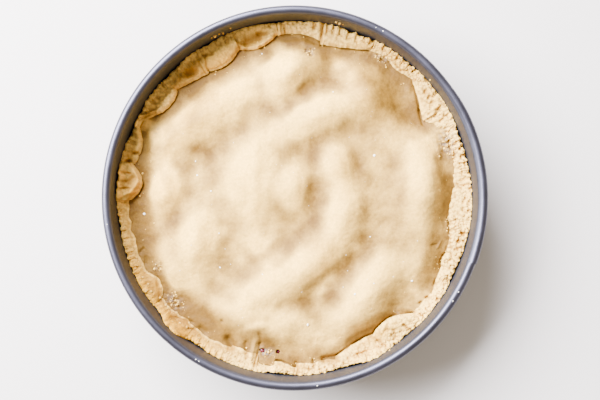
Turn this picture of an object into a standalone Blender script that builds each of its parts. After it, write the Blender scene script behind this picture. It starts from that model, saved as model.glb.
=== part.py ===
"""An unbaked plum pie in its round, deep baking tin.

Shortcrust lines the tin as a case and plum halves fill it. A rolled sheet of dough lies over them
as the lid, and the edge of the case is folded in over the lid and pressed down with a fork.

Frame: +Z up, origin at the middle of the tin's underside. Sizes below are in millimetres and
angles in degrees, anticlockwise from +X seen from above. Each mesh is turned to metres as it is
finished.
"""
import math
import random
from collections import namedtuple

import bmesh
import bpy
from mathutils import Matrix, Vector, noise
from mathutils.geometry import intersect_point_line

MM = 0.001
SEED = 7

# The tin: a band of sheet metal round a loose, stepped base
TIN_RADIUS = 130.0          # inside of the band
TIN_HEIGHT = 68.0
TIN_STEPS = 72
SHEET = 0.8                 # thickness of the band
BEAD_RADIUS = 3.2           # rolled edge at the mouth
BEAD_SIDES = 8
LAP_START, LAP_END = -20.0, 25.0    # where the band's two ends lie over each other
LAP_STEP = 0.7
FOOT_DEPTH = 2.8            # how far the gripping foot stands out from the band
BASE_RADIUS = 132.2
BASE_FLAT_RADIUS = 126.0    # the part of the base that the tin stands on
BASE_SHEET = 1.0
BASE_STEP = 1.7             # how far the base's edge is raised above its middle

# The pastry
CASE_RADIUS = 129.5
CASE_FLOOR = 1.35           # underside of the pastry, on the base
CASE_THICKNESS = 5.2
EDGE_RADIUS = 129.4         # outline of the crimped edge where it reaches out farthest
EDGE_HEIGHT = 41.6
FORK_PITCH = 2.5            # one tine mark, about 5.6 mm at the edge
FORK_DEPTH = 2.2
FORK_LENGTH = 8.5
EDGE_WAVER = 1.2            # how far the outline draws back from the wall here and there
EDGE_ROLL = 0.9             # how far the edge rises and falls along its way
EDGE_ROUND, EDGE_DROP = 1.1, 2.4    # rounding of the edge's outer corner, inwards and down
LINING_CONTACT = 7.0        # below the edge's top the lining lies against the wall again
LIP_ROUND, LIP_ROUND_SHARE = 2.2, 0.22      # rounding of the lip, at most this share of its fold
MARK_SHARE = 0.6            # a tine mark is at most this share of its fold
GAP = 0.4                   # between pieces that lie on each other
LIP_GAP = 1.0               # under the folded edge, over the lid
THINNEST_LIP = 0.9          # what a fingertip leaves of it
LEAST_LAP = 1.2             # how far the folded edge always covers the lid

# The lid and the filling under it
LID_RADIUS = 124.4
LID_EDGE = 37.6             # height of the lid's top where it runs under the folded edge
LID_RISE = 4.0
LID_CROWN = 1.6
LID_THICKNESS = 3.4
CROWN_RADIUS = 113.0
SHOULDER_IN, SHOULDER_OUT = 92.0, 121.0     # the lid slopes down between these radii
TROUGH, TROUGH_RADIUS, TROUGH_WIDTH = 0.8, 109.0, 8.0   # the sheet sags beside the last fruit
LID_CELLS = 36
LID_UNDERSIDE_CELLS = 18

# The folds of the pastry edge, one after the other from FIRST_FOLD on. Each one has the angle
# where it ends, how near the middle its lip reaches at its start, halfway and at its end, how
# thick the lip is, how far its back swells up (or, below zero, sinks in), and how deeply the
# fork marked it, from 0 to 1.
Fold = namedtuple("Fold", "end near half far lip swell fork")
FIRST_FOLD = -8.0
FOLDS = (
    Fold(4.0, 113.5, 114.5, 117.0, 2.4, 0.5, 0.1),
    Fold(12.5, 117.3, 117.6, 119.5, 1.0, 0.2, 0.9),
    Fold(25.0, 120.0, 121.0, 120.5, 1.0, -0.4, 0.9),
    Fold(31.0, 119.5, 115.0, 111.0, 1.2, 0.4, 0.3),
    Fold(45.0, 110.2, 115.4, 122.3, 3.6, 0.7, 0.2),
    Fold(55.0, 122.6, 120.7, 121.5, 2.2, 0.2, 0.9),
    Fold(63.0, 122.0, 122.6, 122.0, 1.6, 0.0, 0.9),
    Fold(80.6, 122.0, 116.0, 114.4, 3.8, 0.4, 0.9),
    Fold(96.0, 116.6, 120.6, 119.6, 3.0, 0.5, 0.6),
    Fold(110.5, 120.6, 113.0, 116.5, 3.6, 0.4, 0.0),
    Fold(124.2, 116.0, 109.4, 112.2, 5.0, 0.9, 0.6),
    Fold(137.6, 111.0, 113.4, 117.6, 4.6, 0.6, 0.5),
    Fold(151.5, 116.4, 113.6, 122.4, 4.4, 0.2, 0.9),
    Fold(156.0, 122.6, 125.0, 123.2, 1.6, -0.4, 0.2),
    Fold(164.5, 124.0, 118.4, 118.0, 4.4, 0.6, 0.7),
    Fold(168.0, 119.0, 118.4, 120.0, 2.6, -0.6, 0.3),
    Fold(180.6, 121.0, 112.0, 119.4, 6.0, 2.4, 0.0),
    Fold(207.0, 121.6, 121.4, 120.6, 1.6, 0.2, 1.0),
    Fold(217.0, 115.6, 118.8, 122.6, 2.6, 0.8, 0.2),
    Fold(222.0, 122.0, 121.4, 122.4, 1.4, -0.6, 0.2),
    Fold(232.0, 123.6, 120.2, 117.4, 3.4, 1.2, 0.1),
    Fold(247.0, 119.0, 119.8, 118.8, 2.0, 0.6, 0.6),
    Fold(257.2, 118.0, 117.6, 118.2, 1.6, 0.0, 0.3),
    Fold(263.2, 123.4, 125.0, 123.0, 1.2, -0.4, 0.2),
    Fold(270.6, 120.4, 121.6, 125.0, 3.4, 1.6, 0.1),
    Fold(284.4, 122.0, 121.4, 122.0, 1.8, 0.2, 0.7),
    Fold(299.8, 120.6, 115.4, 115.2, 3.4, 0.6, 0.3),
    Fold(316.0, 115.6, 111.8, 121.6, 4.2, 0.4, 0.3),
    Fold(325.0, 121.6, 121.0, 122.0, 1.6, -0.2, 0.4),
    Fold(335.6, 123.0, 119.8, 119.0, 2.6, 0.8, 0.3),
    Fold(340.4, 118.4, 117.0, 118.4, 3.2, 0.6, 0.0),
    Fold(352.0, 118.0, 117.2, 114.2, 2.6, 0.5, 0.1),
)
CREASE = 1.5                # depth of the crease between two folds
TILT = 0.9                  # how far a fold's start lies over the end of the one before
THIN_LIP, THICK_LIP = 1.4, 3.0      # thin lips have no crease and don't tilt, thick ones do

# Where dough was pressed up the wall of the tin
Climb = namedtuple("Climb", "angle half_width height")
CLIMBS = (
    Climb(175.0, 6.0, 8.5),
    Climb(226.0, 5.5, 11.5),
    Climb(295.0, 6.0, 8.0),
    Climb(66.0, 2.0, 3.0),
)

# Dents of fingertips in the folded edge: from one place to another, how wide and how deep
Dent = namedtuple("Dent", "angle radius to_angle to_radius width depth")
DENTS = (
    Dent(130.3, 119.3, 128.8, 117.6, 3.0, 3.6),
    Dent(107.0, 119.5, 102.5, 120.8, 4.2, 5.0),
    Dent(174.6, 121.0, 173.0, 118.5, 2.6, 2.0),
    Dent(235.2, 117.0, 234.6, 117.0, 2.6, 1.6),
    Dent(246.8, 116.5, 245.6, 115.0, 3.0, 2.6),
    Dent(283.6, 119.5, 281.6, 119.5, 2.6, 3.0),
)

# Where fruit pushes the lid up, or the lid sags between fruit: the middle of the swell, its
# half length and half width, the way it points, its height, and how much shorter than its width
# the slope is on the right of that direction, where a cut plum ends steeply
Swell = namedtuple("Swell", "x y length width turn height steep")
SWELLS = (
    Swell(-3.0, 92.0, 20.0, 14.0, 55.0, 12.0, 0.9),
    Swell(19.0, 61.0, 28.0, 14.0, 22.0, 10.5, 0.9),
    Swell(55.0, 78.0, 18.0, 15.0, 115.0, 9.0, 1.2),
    Swell(84.0, 68.0, 24.0, 15.0, -50.0, -6.0, 1.0),
    Swell(95.0, 7.0, 26.0, 15.0, 88.0, 11.0, 1.0),
    Swell(31.0, 24.0, 19.0, 15.0, 100.0, 6.5, 0.7),
    Swell(0.0, 9.0, 17.0, 12.0, 88.0, 7.5, 0.8),
    Swell(-26.0, 20.0, 32.0, 24.0, 88.0, 10.0, 0.9),
    Swell(35.0, -11.0, 19.0, 14.0, 74.0, 8.5, 0.9),
    Swell(13.0, -46.0, 28.0, 15.0, 38.0, 10.5, 0.9),
    Swell(-24.0, -70.0, 22.0, 15.0, 35.0, 8.0, 1.0),
    Swell(53.0, -70.0, 31.0, 15.0, 57.0, 11.5, 1.0),
    Swell(97.0, -52.0, 17.0, 12.0, 62.0, 7.5, 0.9),
    Swell(-65.0, 60.0, 36.0, 13.0, 33.0, 11.0, 1.2),
    Swell(-94.0, 6.0, 15.0, 12.0, 85.0, 7.0, 1.0),
    Swell(-74.0, -34.0, 25.0, 15.0, 76.0, 10.5, 1.0),
    Swell(-6.0, -92.0, 15.0, 12.0, 20.0, 5.0, 1.0),
    Swell(30.0, 96.0, 13.0, 12.0, 0.0, -4.0, 1.0),
    Swell(-50.0, -98.0, 22.0, 9.0, -28.0, -2.0, 1.0),
    Swell(-102.0, 42.0, 17.0, 11.0, 68.0, 6.0, 1.0),
    Swell(-96.0, -50.0, 14.0, 12.0, 118.0, 4.0, 1.0),
    Swell(-44.0, -90.0, 14.0, 11.0, -26.0, 4.0, 1.0),
    Swell(60.0, -90.0, 16.0, 10.0, 34.0, 3.0, 1.0),
)
SWELLS_FADE_IN, SWELLS_FADE_OUT = 120.0, 100.0

# Two small holes torn in the lid, where plum shows: place and radius
Tear = namedtuple("Tear", "x y radius")
TEARS = (Tear(-23.9, -112.2, 2.1), Tear(-12.2, -112.9, 1.6))
TEAR_SIDES = 10
PLUM_BELOW_TEAR = 0.6       # how far the fruit stays below the lid's top
PLUM_IN_TEAR = 0.35         # space between the fruit and the torn dough


# ---------------------------------------------------------------- helpers

def clear_scene():
    for thing in list(bpy.data.objects):
        bpy.data.objects.remove(thing, do_unlink=True)


def make_material(name, colour, roughness, metallic=0.0):
    material = bpy.data.materials.new(name)
    material.use_nodes = True
    shader = material.node_tree.nodes["Principled BSDF"]
    shader.inputs["Base Color"].default_value = (*colour, 1.0)
    shader.inputs["Roughness"].default_value = roughness
    shader.inputs["Metallic"].default_value = metallic
    return material


def add_part(collection, name, mesh, material):
    """Turn a mesh from millimetres to metres and put it in the scene as one sub-part."""
    mesh.transform(Matrix.Scale(MM, 4))
    if material:
        mesh.materials.append(material)
    part = bpy.data.objects.new(name, mesh)
    collection.objects.link(part)
    return part


def mesh_from(bm, name):
    bmesh.ops.recalc_face_normals(bm, faces=bm.faces)
    mesh = bpy.data.meshes.new(name)
    bm.to_mesh(mesh)
    bm.free()
    mesh.shade_smooth()
    mesh.set_sharp_from_angle(angle=math.radians(35.0))
    return mesh


def smooth_step(low, high, value):
    part = min(max((value - low) / (high - low), 0.0), 1.0)
    return part * part * (3.0 - 2.0 * part)


def mix(a, b, share):
    return a + (b - a) * share


def polar(radius, angle, height):
    turn = math.radians(angle)
    return Vector((radius * math.cos(turn), radius * math.sin(turn), height))


def arc(centre, radius, start, end, sides):
    """Points (r, z) along an arc of a turned profile, from one angle to the other."""
    points = []
    for side in range(sides + 1):
        turn = math.radians(mix(start, end, side / sides))
        points.append((centre[0] + radius * math.cos(turn), centre[1] + radius * math.sin(turn)))
    return points


def add_ring(bm, points):
    """A closed loop of vertices and the edges between them."""
    verts = [bm.verts.new(point) for point in points]
    for here, after in zip(verts, verts[1:] + verts[:1]):
        bm.edges.new((here, after))
    return verts


def skin(bm, outer, inner):
    """Faces between two loops with the same number of vertices."""
    count = len(outer)
    for here in range(count):
        after = (here + 1) % count
        bm.faces.new((outer[here], outer[after], inner[after], inner[here]))


def zip_rings(bm, fine, coarse):
    """Triangles between a fine loop and a coarse one that go round from the same angle."""
    fine_count, coarse_count = len(fine), len(coarse)
    near = 0
    for here in range(fine_count):
        after = (here + 1) % fine_count
        bm.faces.new((fine[here], fine[after], coarse[near % coarse_count]))
        if (here + 1) * coarse_count >= (near + 0.5) * fine_count:
            bm.faces.new((coarse[near % coarse_count], fine[after],
                          coarse[(near + 1) % coarse_count]))
            near += 1


def fan(bm, ring, middle):
    """Triangles from a loop to one vertex on the axis."""
    for here, after in zip(ring, ring[1:] + ring[:1]):
        bm.faces.new((here, after, middle))


# ---------------------------------------------------------------- tin

def turned_mesh(name, profile, closed):
    """A profile of (r, z) points turned round the Z axis by a Screw modifier."""
    mesh = bpy.data.meshes.new(name)
    edges = [(here, here + 1) for here in range(len(profile) - 1)]
    if closed:
        edges.append((len(profile) - 1, 0))
    mesh.from_pydata([(radius, 0.0, height) for radius, height in profile], edges, [])
    guide = bpy.data.objects.new(name + "_guide", mesh)
    bpy.context.scene.collection.objects.link(guide)
    screw = guide.modifiers.new("turn", "SCREW")
    screw.axis = "Z"
    screw.angle = math.tau
    screw.steps = TIN_STEPS
    screw.render_steps = TIN_STEPS
    screw.use_merge_vertices = True
    screw.merge_threshold = 0.0001
    evaluated = guide.evaluated_get(bpy.context.evaluated_depsgraph_get())
    turned = bpy.data.meshes.new_from_object(evaluated)
    bpy.data.objects.remove(guide, do_unlink=True)
    turned.shade_smooth()
    turned.set_sharp_from_angle(angle=math.radians(35.0))
    return turned


def make_tin_band(collection, material):
    """Sheet rolled outwards at the mouth, and folded into a channel that grips the base."""
    outside = TIN_RADIUS + SHEET
    foot = outside + FOOT_DEPTH
    bead_centre = (TIN_RADIUS + BEAD_RADIUS, TIN_HEIGHT - BEAD_RADIUS)
    last = -180.0 + math.degrees(math.acos((BEAD_RADIUS - SHEET) / BEAD_RADIUS))
    profile = arc(bead_centre, BEAD_RADIUS, 180.0, last, BEAD_SIDES)
    profile += [(outside, 6.4), (foot, 4.8), (foot, 1.2), (TIN_RADIUS + 1.4, 0.4)]
    profile += [(TIN_RADIUS + 0.6, 0.4), (TIN_RADIUS + 0.6, 1.2), (foot - SHEET, 1.3)]
    profile += [(foot - SHEET, 3.1), (TIN_RADIUS, 4.2)]
    mesh = turned_mesh("tin_band", profile, closed=True)
    for vert in mesh.vertices:
        angle = math.degrees(math.atan2(vert.co.y, vert.co.x))
        radius = math.hypot(vert.co.x, vert.co.y)
        in_lap = LAP_START - 0.1 < angle < LAP_END + 0.1
        if in_lap and radius > TIN_RADIUS + SHEET / 2 and vert.co.z > TIN_HEIGHT / 4:
            vert.co.xy *= (radius + LAP_STEP) / radius
    return add_part(collection, "tin_band", mesh, material)


def make_tin_base(collection, material):
    """A round plate whose edge steps up into the band's channel."""
    slope = 1.5
    edge_top = BASE_STEP + BASE_SHEET
    profile = [(0.0, BASE_SHEET), (BASE_FLAT_RADIUS, BASE_SHEET)]
    profile += [(BASE_FLAT_RADIUS + slope, edge_top), (BASE_RADIUS, edge_top)]
    profile += [(BASE_RADIUS, BASE_STEP), (BASE_FLAT_RADIUS + slope + 0.7, BASE_STEP)]
    profile += [(BASE_FLAT_RADIUS + 0.7, 0.0), (0.0, 0.0)]
    mesh = turned_mesh("tin_base", profile, closed=False)
    return add_part(collection, "tin_base", mesh, material)


# ---------------------------------------------------------------- lid and filling

def swell_height(swell, x, y):
    """One rounded rise, or a sag, of the lid. Its right side may be steeper than its left."""
    turn = math.radians(swell.turn)
    along = (x - swell.x) * math.cos(turn) + (y - swell.y) * math.sin(turn)
    across = (y - swell.y) * math.cos(turn) - (x - swell.x) * math.sin(turn)
    width = swell.width if across > 0.0 else swell.width * swell.steep
    return swell.height * math.exp(-(along / swell.length) ** 2 - (across / width) ** 2)


def lid_top(x, y):
    """Height of the lid's upper face."""
    radius = math.hypot(x, y)
    plateau = 1.0 - smooth_step(SHOULDER_IN, SHOULDER_OUT, radius)
    crown = LID_CROWN * max(0.0, 1.0 - (radius / CROWN_RADIUS) ** 2)
    swells = sum(swell_height(swell, x, y) for swell in SWELLS)
    swells *= smooth_step(SWELLS_FADE_IN, SWELLS_FADE_OUT, radius)
    trough = TROUGH * math.exp(-((radius - TROUGH_RADIUS) / TROUGH_WIDTH) ** 2)
    return LID_EDGE + LID_RISE * plateau + crown + swells - trough


def add_disc(bm, cells, radius, height_at):
    """A square grid drawn out into a disc of rings, and lifted to a height at each point.

    Returns the vertices of its rim, in order from angle 0.
    """
    made = bmesh.ops.create_grid(bm, x_segments=cells, y_segments=cells, size=1.0)
    for vert in made["verts"]:
        x, y = vert.co.x, vert.co.y
        if abs(x) < 1e-6 and abs(y) < 1e-6:
            reach, turn = 0.0, 0.0
        elif abs(x) >= abs(y):
            reach, turn = x, math.pi / 4.0 * (y / x)
        else:
            reach, turn = y, math.pi / 2.0 - math.pi / 4.0 * (x / y)
        place = Vector((reach * math.cos(turn), reach * math.sin(turn))) * radius
        vert.co = (place.x, place.y, height_at(place.x, place.y))
    rim = [vert for vert in made["verts"] if vert.is_boundary]
    rim.sort(key=lambda vert: math.atan2(vert.co.y, vert.co.x) % (math.tau - 1e-6))
    return rim


def add_pegs(name, spare, top_drop):
    """A hidden round peg through each tear, thinner than it by spare."""
    pegs = bpy.data.collections.new(name)
    bpy.context.scene.collection.children.link(pegs)
    foot = LID_EDGE - 2.0 * LID_THICKNESS
    for number, tear in enumerate(TEARS):
        top = lid_top(tear.x, tear.y) - top_drop
        bm = bmesh.new()
        bmesh.ops.create_cone(bm, cap_ends=True, segments=TEAR_SIDES, depth=top - foot,
                              radius1=tear.radius - spare, radius2=tear.radius - spare,
                              matrix=Matrix.Translation((tear.x, tear.y, (top + foot) / 2.0)))
        peg = add_part(pegs, f"{name}_{number}", mesh_from(bm, f"{name}_{number}"), None)
        peg.hide_render = True
        peg.display_type = "WIRE"
    return pegs


def join_or_cut(part, operation, pegs):
    boolean = part.modifiers.new(operation.lower(), "BOOLEAN")
    boolean.operation = operation
    boolean.operand_type = "COLLECTION"
    boolean.collection = pegs
    boolean.solver = "EXACT"


def make_lid(collection, material):
    """The sheet of dough over the fruit, torn through at two small places near its edge."""
    bm = bmesh.new()
    top_rim = add_disc(bm, LID_CELLS, LID_RADIUS, lid_top)
    under_rim = add_disc(bm, LID_UNDERSIDE_CELLS, LID_RADIUS,
                         lambda x, y: lid_top(x, y) - LID_THICKNESS)
    zip_rings(bm, top_rim, under_rim)
    lid = add_part(collection, "pastry_lid", mesh_from(bm, "pastry_lid"), material)
    join_or_cut(lid, "DIFFERENCE", add_pegs("tear_cutter", 0.0, -LID_THICKNESS))
    return lid


def make_filling(collection, material):
    """The plums as one mass from the case's floor up to the lid's underside."""
    bm = bmesh.new()
    drop = LID_THICKNESS + GAP
    top_rim = add_disc(bm, LID_UNDERSIDE_CELLS, LID_RADIUS, lambda x, y: lid_top(x, y) - drop)
    foot = CASE_FLOOR + CASE_THICKNESS + GAP
    foot_rim = add_ring(bm, [Vector((vert.co.x, vert.co.y, foot)) for vert in top_rim])
    skin(bm, top_rim, foot_rim)
    bm.faces.new(foot_rim)
    filling = add_part(collection, "plum_filling", mesh_from(bm, "plum_filling"), material)
    join_or_cut(filling, "UNION", add_pegs("plum_in_tear", PLUM_IN_TEAR, PLUM_BELOW_TEAR))
    return filling


# ---------------------------------------------------------------- pastry case

def fold_at(angle):
    """The fold that covers an angle, and how far along it the angle lies, from 0 to 1."""
    start = FIRST_FOLD
    angle = (angle - FIRST_FOLD) % 360.0 + FIRST_FOLD
    for fold in FOLDS:
        if angle < fold.end:
            return fold, (angle - start) / (fold.end - start)
        start = fold.end
    return FOLDS[0], 0.0


def lip_reach(fold, along):
    """Radius of the fold's inner lip, on a parabola through its start, middle and end."""
    return (fold.near * (1.0 - along) * (1.0 - 2.0 * along)
            + fold.half * 4.0 * along * (1.0 - along)
            + fold.far * along * (2.0 * along - 1.0))


def wobble(angle, size, layer):
    """Smooth noise round the pie, with hills of about the given size along the edge."""
    place = polar(EDGE_RADIUS / size, angle, layer)
    return noise.noise(place)


def climb_at(angle):
    """How far up the wall the edge was pressed at an angle."""
    climb = 0.0
    for rise in CLIMBS:
        away = (angle - rise.angle + 180.0) % 360.0 - 180.0
        climb += rise.height * math.exp(-(away / rise.half_width) ** 4)
    return climb


def dent_at(radius, angle):
    """How deep fingertips pressed the folded edge in at a place."""
    place = polar(radius, angle, 0.0)
    depth = 0.0
    for dent in DENTS:
        start, end = (polar(reach, turn, 0.0) for turn, reach in (dent[:2], dent[2:4]))
        _, share = intersect_point_line(place, start, end)
        nearest = start.lerp(end, min(max(share, 0.0), 1.0))
        depth += dent.depth * math.exp(-((place - nearest).length / dent.width) ** 2)
    return depth


def rim_section(angle, pressed, fork_force):
    """The folded edge cut across at one angle, from the case's wall over the top to the lid.

    pressed is 1 in a tine's groove and 0 between two grooves.
    """
    fold, along = fold_at(angle)
    reach = min(lip_reach(fold, along), LID_RADIUS - LEAST_LAP)
    thick = smooth_step(THIN_LIP, THICK_LIP, fold.lip)
    crease = CREASE * thick * (1.0 - smooth_step(0.0, 0.16, min(along, 1.0 - along)))
    groove = FORK_DEPTH * pressed * fold.fork * fork_force
    outline = EDGE_RADIUS - EDGE_WAVER * abs(wobble(angle, 14.0, 1.0)) - 0.3 * groove
    edge = EDGE_HEIGHT + EDGE_ROLL * wobble(angle, 30.0, 2.0)
    climb = climb_at(angle) * (1.0 + 0.2 * wobble(angle, 4.0, 3.0))
    width = outline - reach
    mark_end = outline - min(FORK_LENGTH, MARK_SHARE * width)
    lip_back = reach + min(LIP_ROUND, LIP_ROUND_SHARE * width)
    back = mix(mark_end, lip_back, 0.5)
    nose = polar(reach, angle, 0.0)
    under = lid_top(nose.x, nose.y) + LIP_GAP
    lip_top = max(under + fold.lip + TILT * thick * (0.5 - along) - crease, under + THINNEST_LIP)
    heights = (mix(edge, lip_top, 0.35) + 0.3 - 0.4 * groove,
               mix(edge, lip_top, 0.6) + fold.swell - 0.5 * crease, lip_top)
    dented = [max(height - dent_at(radius, angle), min(height, under + THINNEST_LIP))
              for radius, height in zip((mark_end, back, lip_back), heights)]
    return (
        (CASE_RADIUS, edge - LINING_CONTACT),
        (outline, edge + climb - EDGE_DROP - 0.4 * groove),
        (outline - EDGE_ROUND, edge + climb - groove),
        (mark_end, dented[0]),
        (back, dented[1]),
        (lip_back, dented[2]),
        (reach, mix(under, lip_top, 0.5)),
        (reach + 1.0, under),
    )


def make_case(collection, material):
    """The pastry that lines the tin, with its edge folded in over the lid."""
    draws = random.Random(SEED)
    steps = round(2 * 360.0 / FORK_PITCH)
    angles = [step * FORK_PITCH / 2.0 for step in range(steps)]
    sections = [rim_section(angle, step % 2, draws.uniform(0.6, 1.1))
                for step, angle in enumerate(angles)]
    bm = bmesh.new()
    rings = []
    for row in zip(*sections):
        rings.append(add_ring(bm, [polar(radius, angle, height)
                                   for angle, (radius, height) in zip(angles, row)]))
    for outer, inner in zip(rings, rings[1:]):
        skin(bm, outer, inner)

    coarse = steps // 4
    hollow = LID_RADIUS + GAP
    floor = CASE_FLOOR + CASE_THICKNESS
    levels = {
        "outer_top": (coarse, CASE_RADIUS, 6.0),
        "outer_foot": (coarse, BASE_FLAT_RADIUS - 0.8, CASE_FLOOR),
        "slot": (steps, hollow, LID_EDGE + LIP_GAP),
        "inner_foot": (coarse, hollow, floor),
    }
    plain = {name: add_ring(bm, [polar(radius, 360.0 * side / sides, height)
                                 for side in range(sides)])
             for name, (sides, radius, height) in levels.items()}
    zip_rings(bm, rings[0], plain["outer_top"])
    skin(bm, plain["outer_top"], plain["outer_foot"])
    fan(bm, plain["outer_foot"], bm.verts.new((0.0, 0.0, CASE_FLOOR)))
    skin(bm, rings[-1], plain["slot"])
    zip_rings(bm, plain["slot"], plain["inner_foot"])
    fan(bm, plain["inner_foot"], bm.verts.new((0.0, 0.0, floor)))
    return add_part(collection, "pastry_case", mesh_from(bm, "pastry_case"), material)


def build():
    clear_scene()
    collection = bpy.data.collections.new("plum_pie")
    bpy.context.scene.collection.children.link(collection)
    tinplate = make_material("tinplate", (0.33, 0.31, 0.31), 0.42, 1.0)
    dough = make_material("raw_shortcrust", (0.85, 0.68, 0.45), 0.75)
    plum = make_material("plum", (0.16, 0.03, 0.07), 0.35)
    make_tin_band(collection, tinplate)
    make_tin_base(collection, tinplate)
    make_case(collection, dough)
    make_filling(collection, plum)
    make_lid(collection, dough)


build()
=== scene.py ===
# %% [markdown]
# # An unbaked plum pie in its tin
#
# A deep round tin is lined with raw shortcrust, filled with halved plums and closed with a rolled
# sheet of dough. The edge of the lining is folded in over the sheet, one pinch after the other, and
# pressed down with a fork. Nothing has been near the oven yet, so everything is pale, soft and a
# little greasy. This lesson builds the looks of that pie around solids that already have its sizes.
#
# Each step says what the real thing is, how it could be modelled, and why one way was picked.

# %% Load the fixed solids
import math
from collections import namedtuple

import bmesh
import bpy
import numpy as np
from mathutils import Matrix, Vector
from mathutils.bvhtree import BVHTree


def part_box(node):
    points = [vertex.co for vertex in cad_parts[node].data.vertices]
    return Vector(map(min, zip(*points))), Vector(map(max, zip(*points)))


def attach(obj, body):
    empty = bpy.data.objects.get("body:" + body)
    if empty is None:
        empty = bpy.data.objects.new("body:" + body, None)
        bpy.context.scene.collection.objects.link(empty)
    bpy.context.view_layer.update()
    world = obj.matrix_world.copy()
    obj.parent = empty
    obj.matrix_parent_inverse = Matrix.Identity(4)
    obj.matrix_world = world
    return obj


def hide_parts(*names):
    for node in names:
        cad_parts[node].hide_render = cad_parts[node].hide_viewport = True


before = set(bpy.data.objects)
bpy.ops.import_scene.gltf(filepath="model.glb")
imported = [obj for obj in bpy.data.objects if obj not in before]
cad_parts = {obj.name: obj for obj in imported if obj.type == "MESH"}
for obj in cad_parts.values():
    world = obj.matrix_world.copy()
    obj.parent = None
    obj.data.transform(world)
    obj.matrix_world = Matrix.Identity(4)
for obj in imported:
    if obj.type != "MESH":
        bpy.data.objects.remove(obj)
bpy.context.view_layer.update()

# %% [markdown]
# ## Sizes
#
# The script thinks in millimetres, because dough is rolled and tins are sold in millimetres. One
# factor, MM, turns a finished mesh into Blender's metres. The main sizes are read from the solids,
# so that the looks can't drift away from them.

# %% Sizes read from the solids
MM = 0.001
AIR = 0.5                   # between the pastry and the wall


def box_mm(node):
    """The lowest and the highest corner of a solid, in millimetres."""
    low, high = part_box(node)
    return low / MM, high / MM


case_low, case_high = box_mm("pastry_case")
base_high = box_mm("tin_base")[1]

CASE_RADIUS = case_high.x
CASE_FLOOR = case_low.z
TIN_RADIUS = CASE_RADIUS + AIR
TIN_TOP = box_mm("tin_band")[1].z
LID_RADIUS = box_mm("pastry_lid")[1].x
print("tin radius", TIN_RADIUS, "mouth", TIN_TOP, "lid radius", LID_RADIUS)

# %% [markdown]
# ## Small helpers
#
# A few things are needed again and again: a smooth step from 0 to 1, a bell curve, noise with hills
# of a known size, and a way to read and write all the points of a mesh at once. Reading them into
# one numpy array lets a whole surface be shaped with a single formula.

# %% Helpers for numbers
TAU = 2.0 * math.pi
SHUFFLED = np.random.default_rng(12).permutation(256)


def smooth_step(low, high, value):
    """0 up to low, 1 from high on, and a soft S between them. low may be the larger one."""
    part = np.clip((value - low) / (high - low), 0.0, 1.0)
    return part * part * (3.0 - 2.0 * part)


def bell(distance, width):
    """A soft hill: 1 where the distance is 0, and next to nothing from twice the width on."""
    return np.exp(-(distance / width) ** 2)


def soft_share(value):
    """Squeeze values above 0 into 0 to 1, so that strong ones blend without a hard edge."""
    return 1.0 - np.exp(-1.3 * np.maximum(value, 0.0))


def mix(a, b, share):
    return a + (b - a) * share


def corner_value(column, row, layer):
    """A repeatable random number from 0 to 1 for each corner of an endless grid."""
    first = SHUFFLED[(column + 31 * layer) & 255]
    return SHUFFLED[(SHUFFLED[(first + row) & 255] + 7 * layer) & 255] / 256.0


def ripple(x, y, size, layer):
    """Smooth noise from about -1 to 1 over arrays of places, with hills about size mm wide."""
    u, v = x / size, y / size
    column, row = np.floor(u).astype(int), np.floor(v).astype(int)
    u, v = u - column, v - row
    fade_u, fade_v = (f * f * f * (f * (6.0 * f - 15.0) + 10.0) for f in (u, v))
    total = np.zeros(np.shape(u))
    for right in (0, 1):
        for up in (0, 1):
            turn = TAU * corner_value(column + right, row + up, layer)
            slope = np.cos(turn) * (u - right) + np.sin(turn) * (v - up)
            share = (fade_u if right else 1.0 - fade_u) * (fade_v if up else 1.0 - fade_v)
            total += 1.5 * slope * share
    return total


def lumps(x, y, size, layer):
    """Rounded crumbs packed side by side: 1 in the middle of a crumb, 0 between crumbs."""
    u, v = x / size, y / size
    column, row = np.floor(u).astype(int), np.floor(v).astype(int)
    nearest = np.full(np.shape(u), 9.0)
    for right in (-1, 0, 1):
        for up in (-1, 0, 1):
            seed_u = column + right + corner_value(column + right, row + up, layer)
            seed_v = row + up + corner_value(column + right, row + up, layer + 5)
            nearest = np.minimum(nearest, np.hypot(u - seed_u, v - seed_v))
    return np.clip(1.0 - nearest, 0.0, 1.0)


sample = ripple(*np.meshgrid(np.arange(200.0), np.arange(200.0)), 20.0, 0)
print("noise runs from", sample.min().round(2), "to", sample.max().round(2))

# %% Helpers for meshes
def read_points(mesh):
    points = np.empty(len(mesh.vertices) * 3, np.float32)
    mesh.vertices.foreach_get("co", points)
    return points.reshape(-1, 3).astype(float)


def write_points(mesh, points):
    mesh.vertices.foreach_set("co", np.asarray(points, np.float32).ravel())
    mesh.update()


def mesh_from(bm, name):
    mesh = bpy.data.meshes.new(name)
    bm.to_mesh(mesh)
    bm.free()
    return mesh


def mark_points(mesh, name, values):
    """Store one number for every point of a mesh, where a material can read it."""
    attribute = mesh.attributes.new(name, "FLOAT", "POINT")
    attribute.data.foreach_set("value", np.asarray(values, np.float32))


def close_up(mesh, merge=0.0005):
    """Weld what meets, turn the faces outwards and shade the mesh smooth."""
    bm = bmesh.new()
    bm.from_mesh(mesh)
    bmesh.ops.remove_doubles(bm, verts=bm.verts, dist=merge)
    bmesh.ops.recalc_face_normals(bm, faces=bm.faces)
    bm.to_mesh(mesh)
    bm.free()
    mesh.shade_smooth()


def put_in_scene(name, data):
    thing = bpy.data.objects.new(name, data)
    bpy.context.scene.collection.objects.link(thing)
    return thing


def add_piece(name, mesh, material, replaces=()):
    """Put a mesh that is in millimetres into the scene, as a piece that rides on the pie."""
    write_points(mesh, read_points(mesh) * MM)
    mesh.materials.append(material)
    piece = put_in_scene(name, mesh)
    if replaces:
        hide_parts(*replaces)
    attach(piece, "root")
    print(name, "has", len(mesh.polygons), "faces")
    return piece

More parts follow.
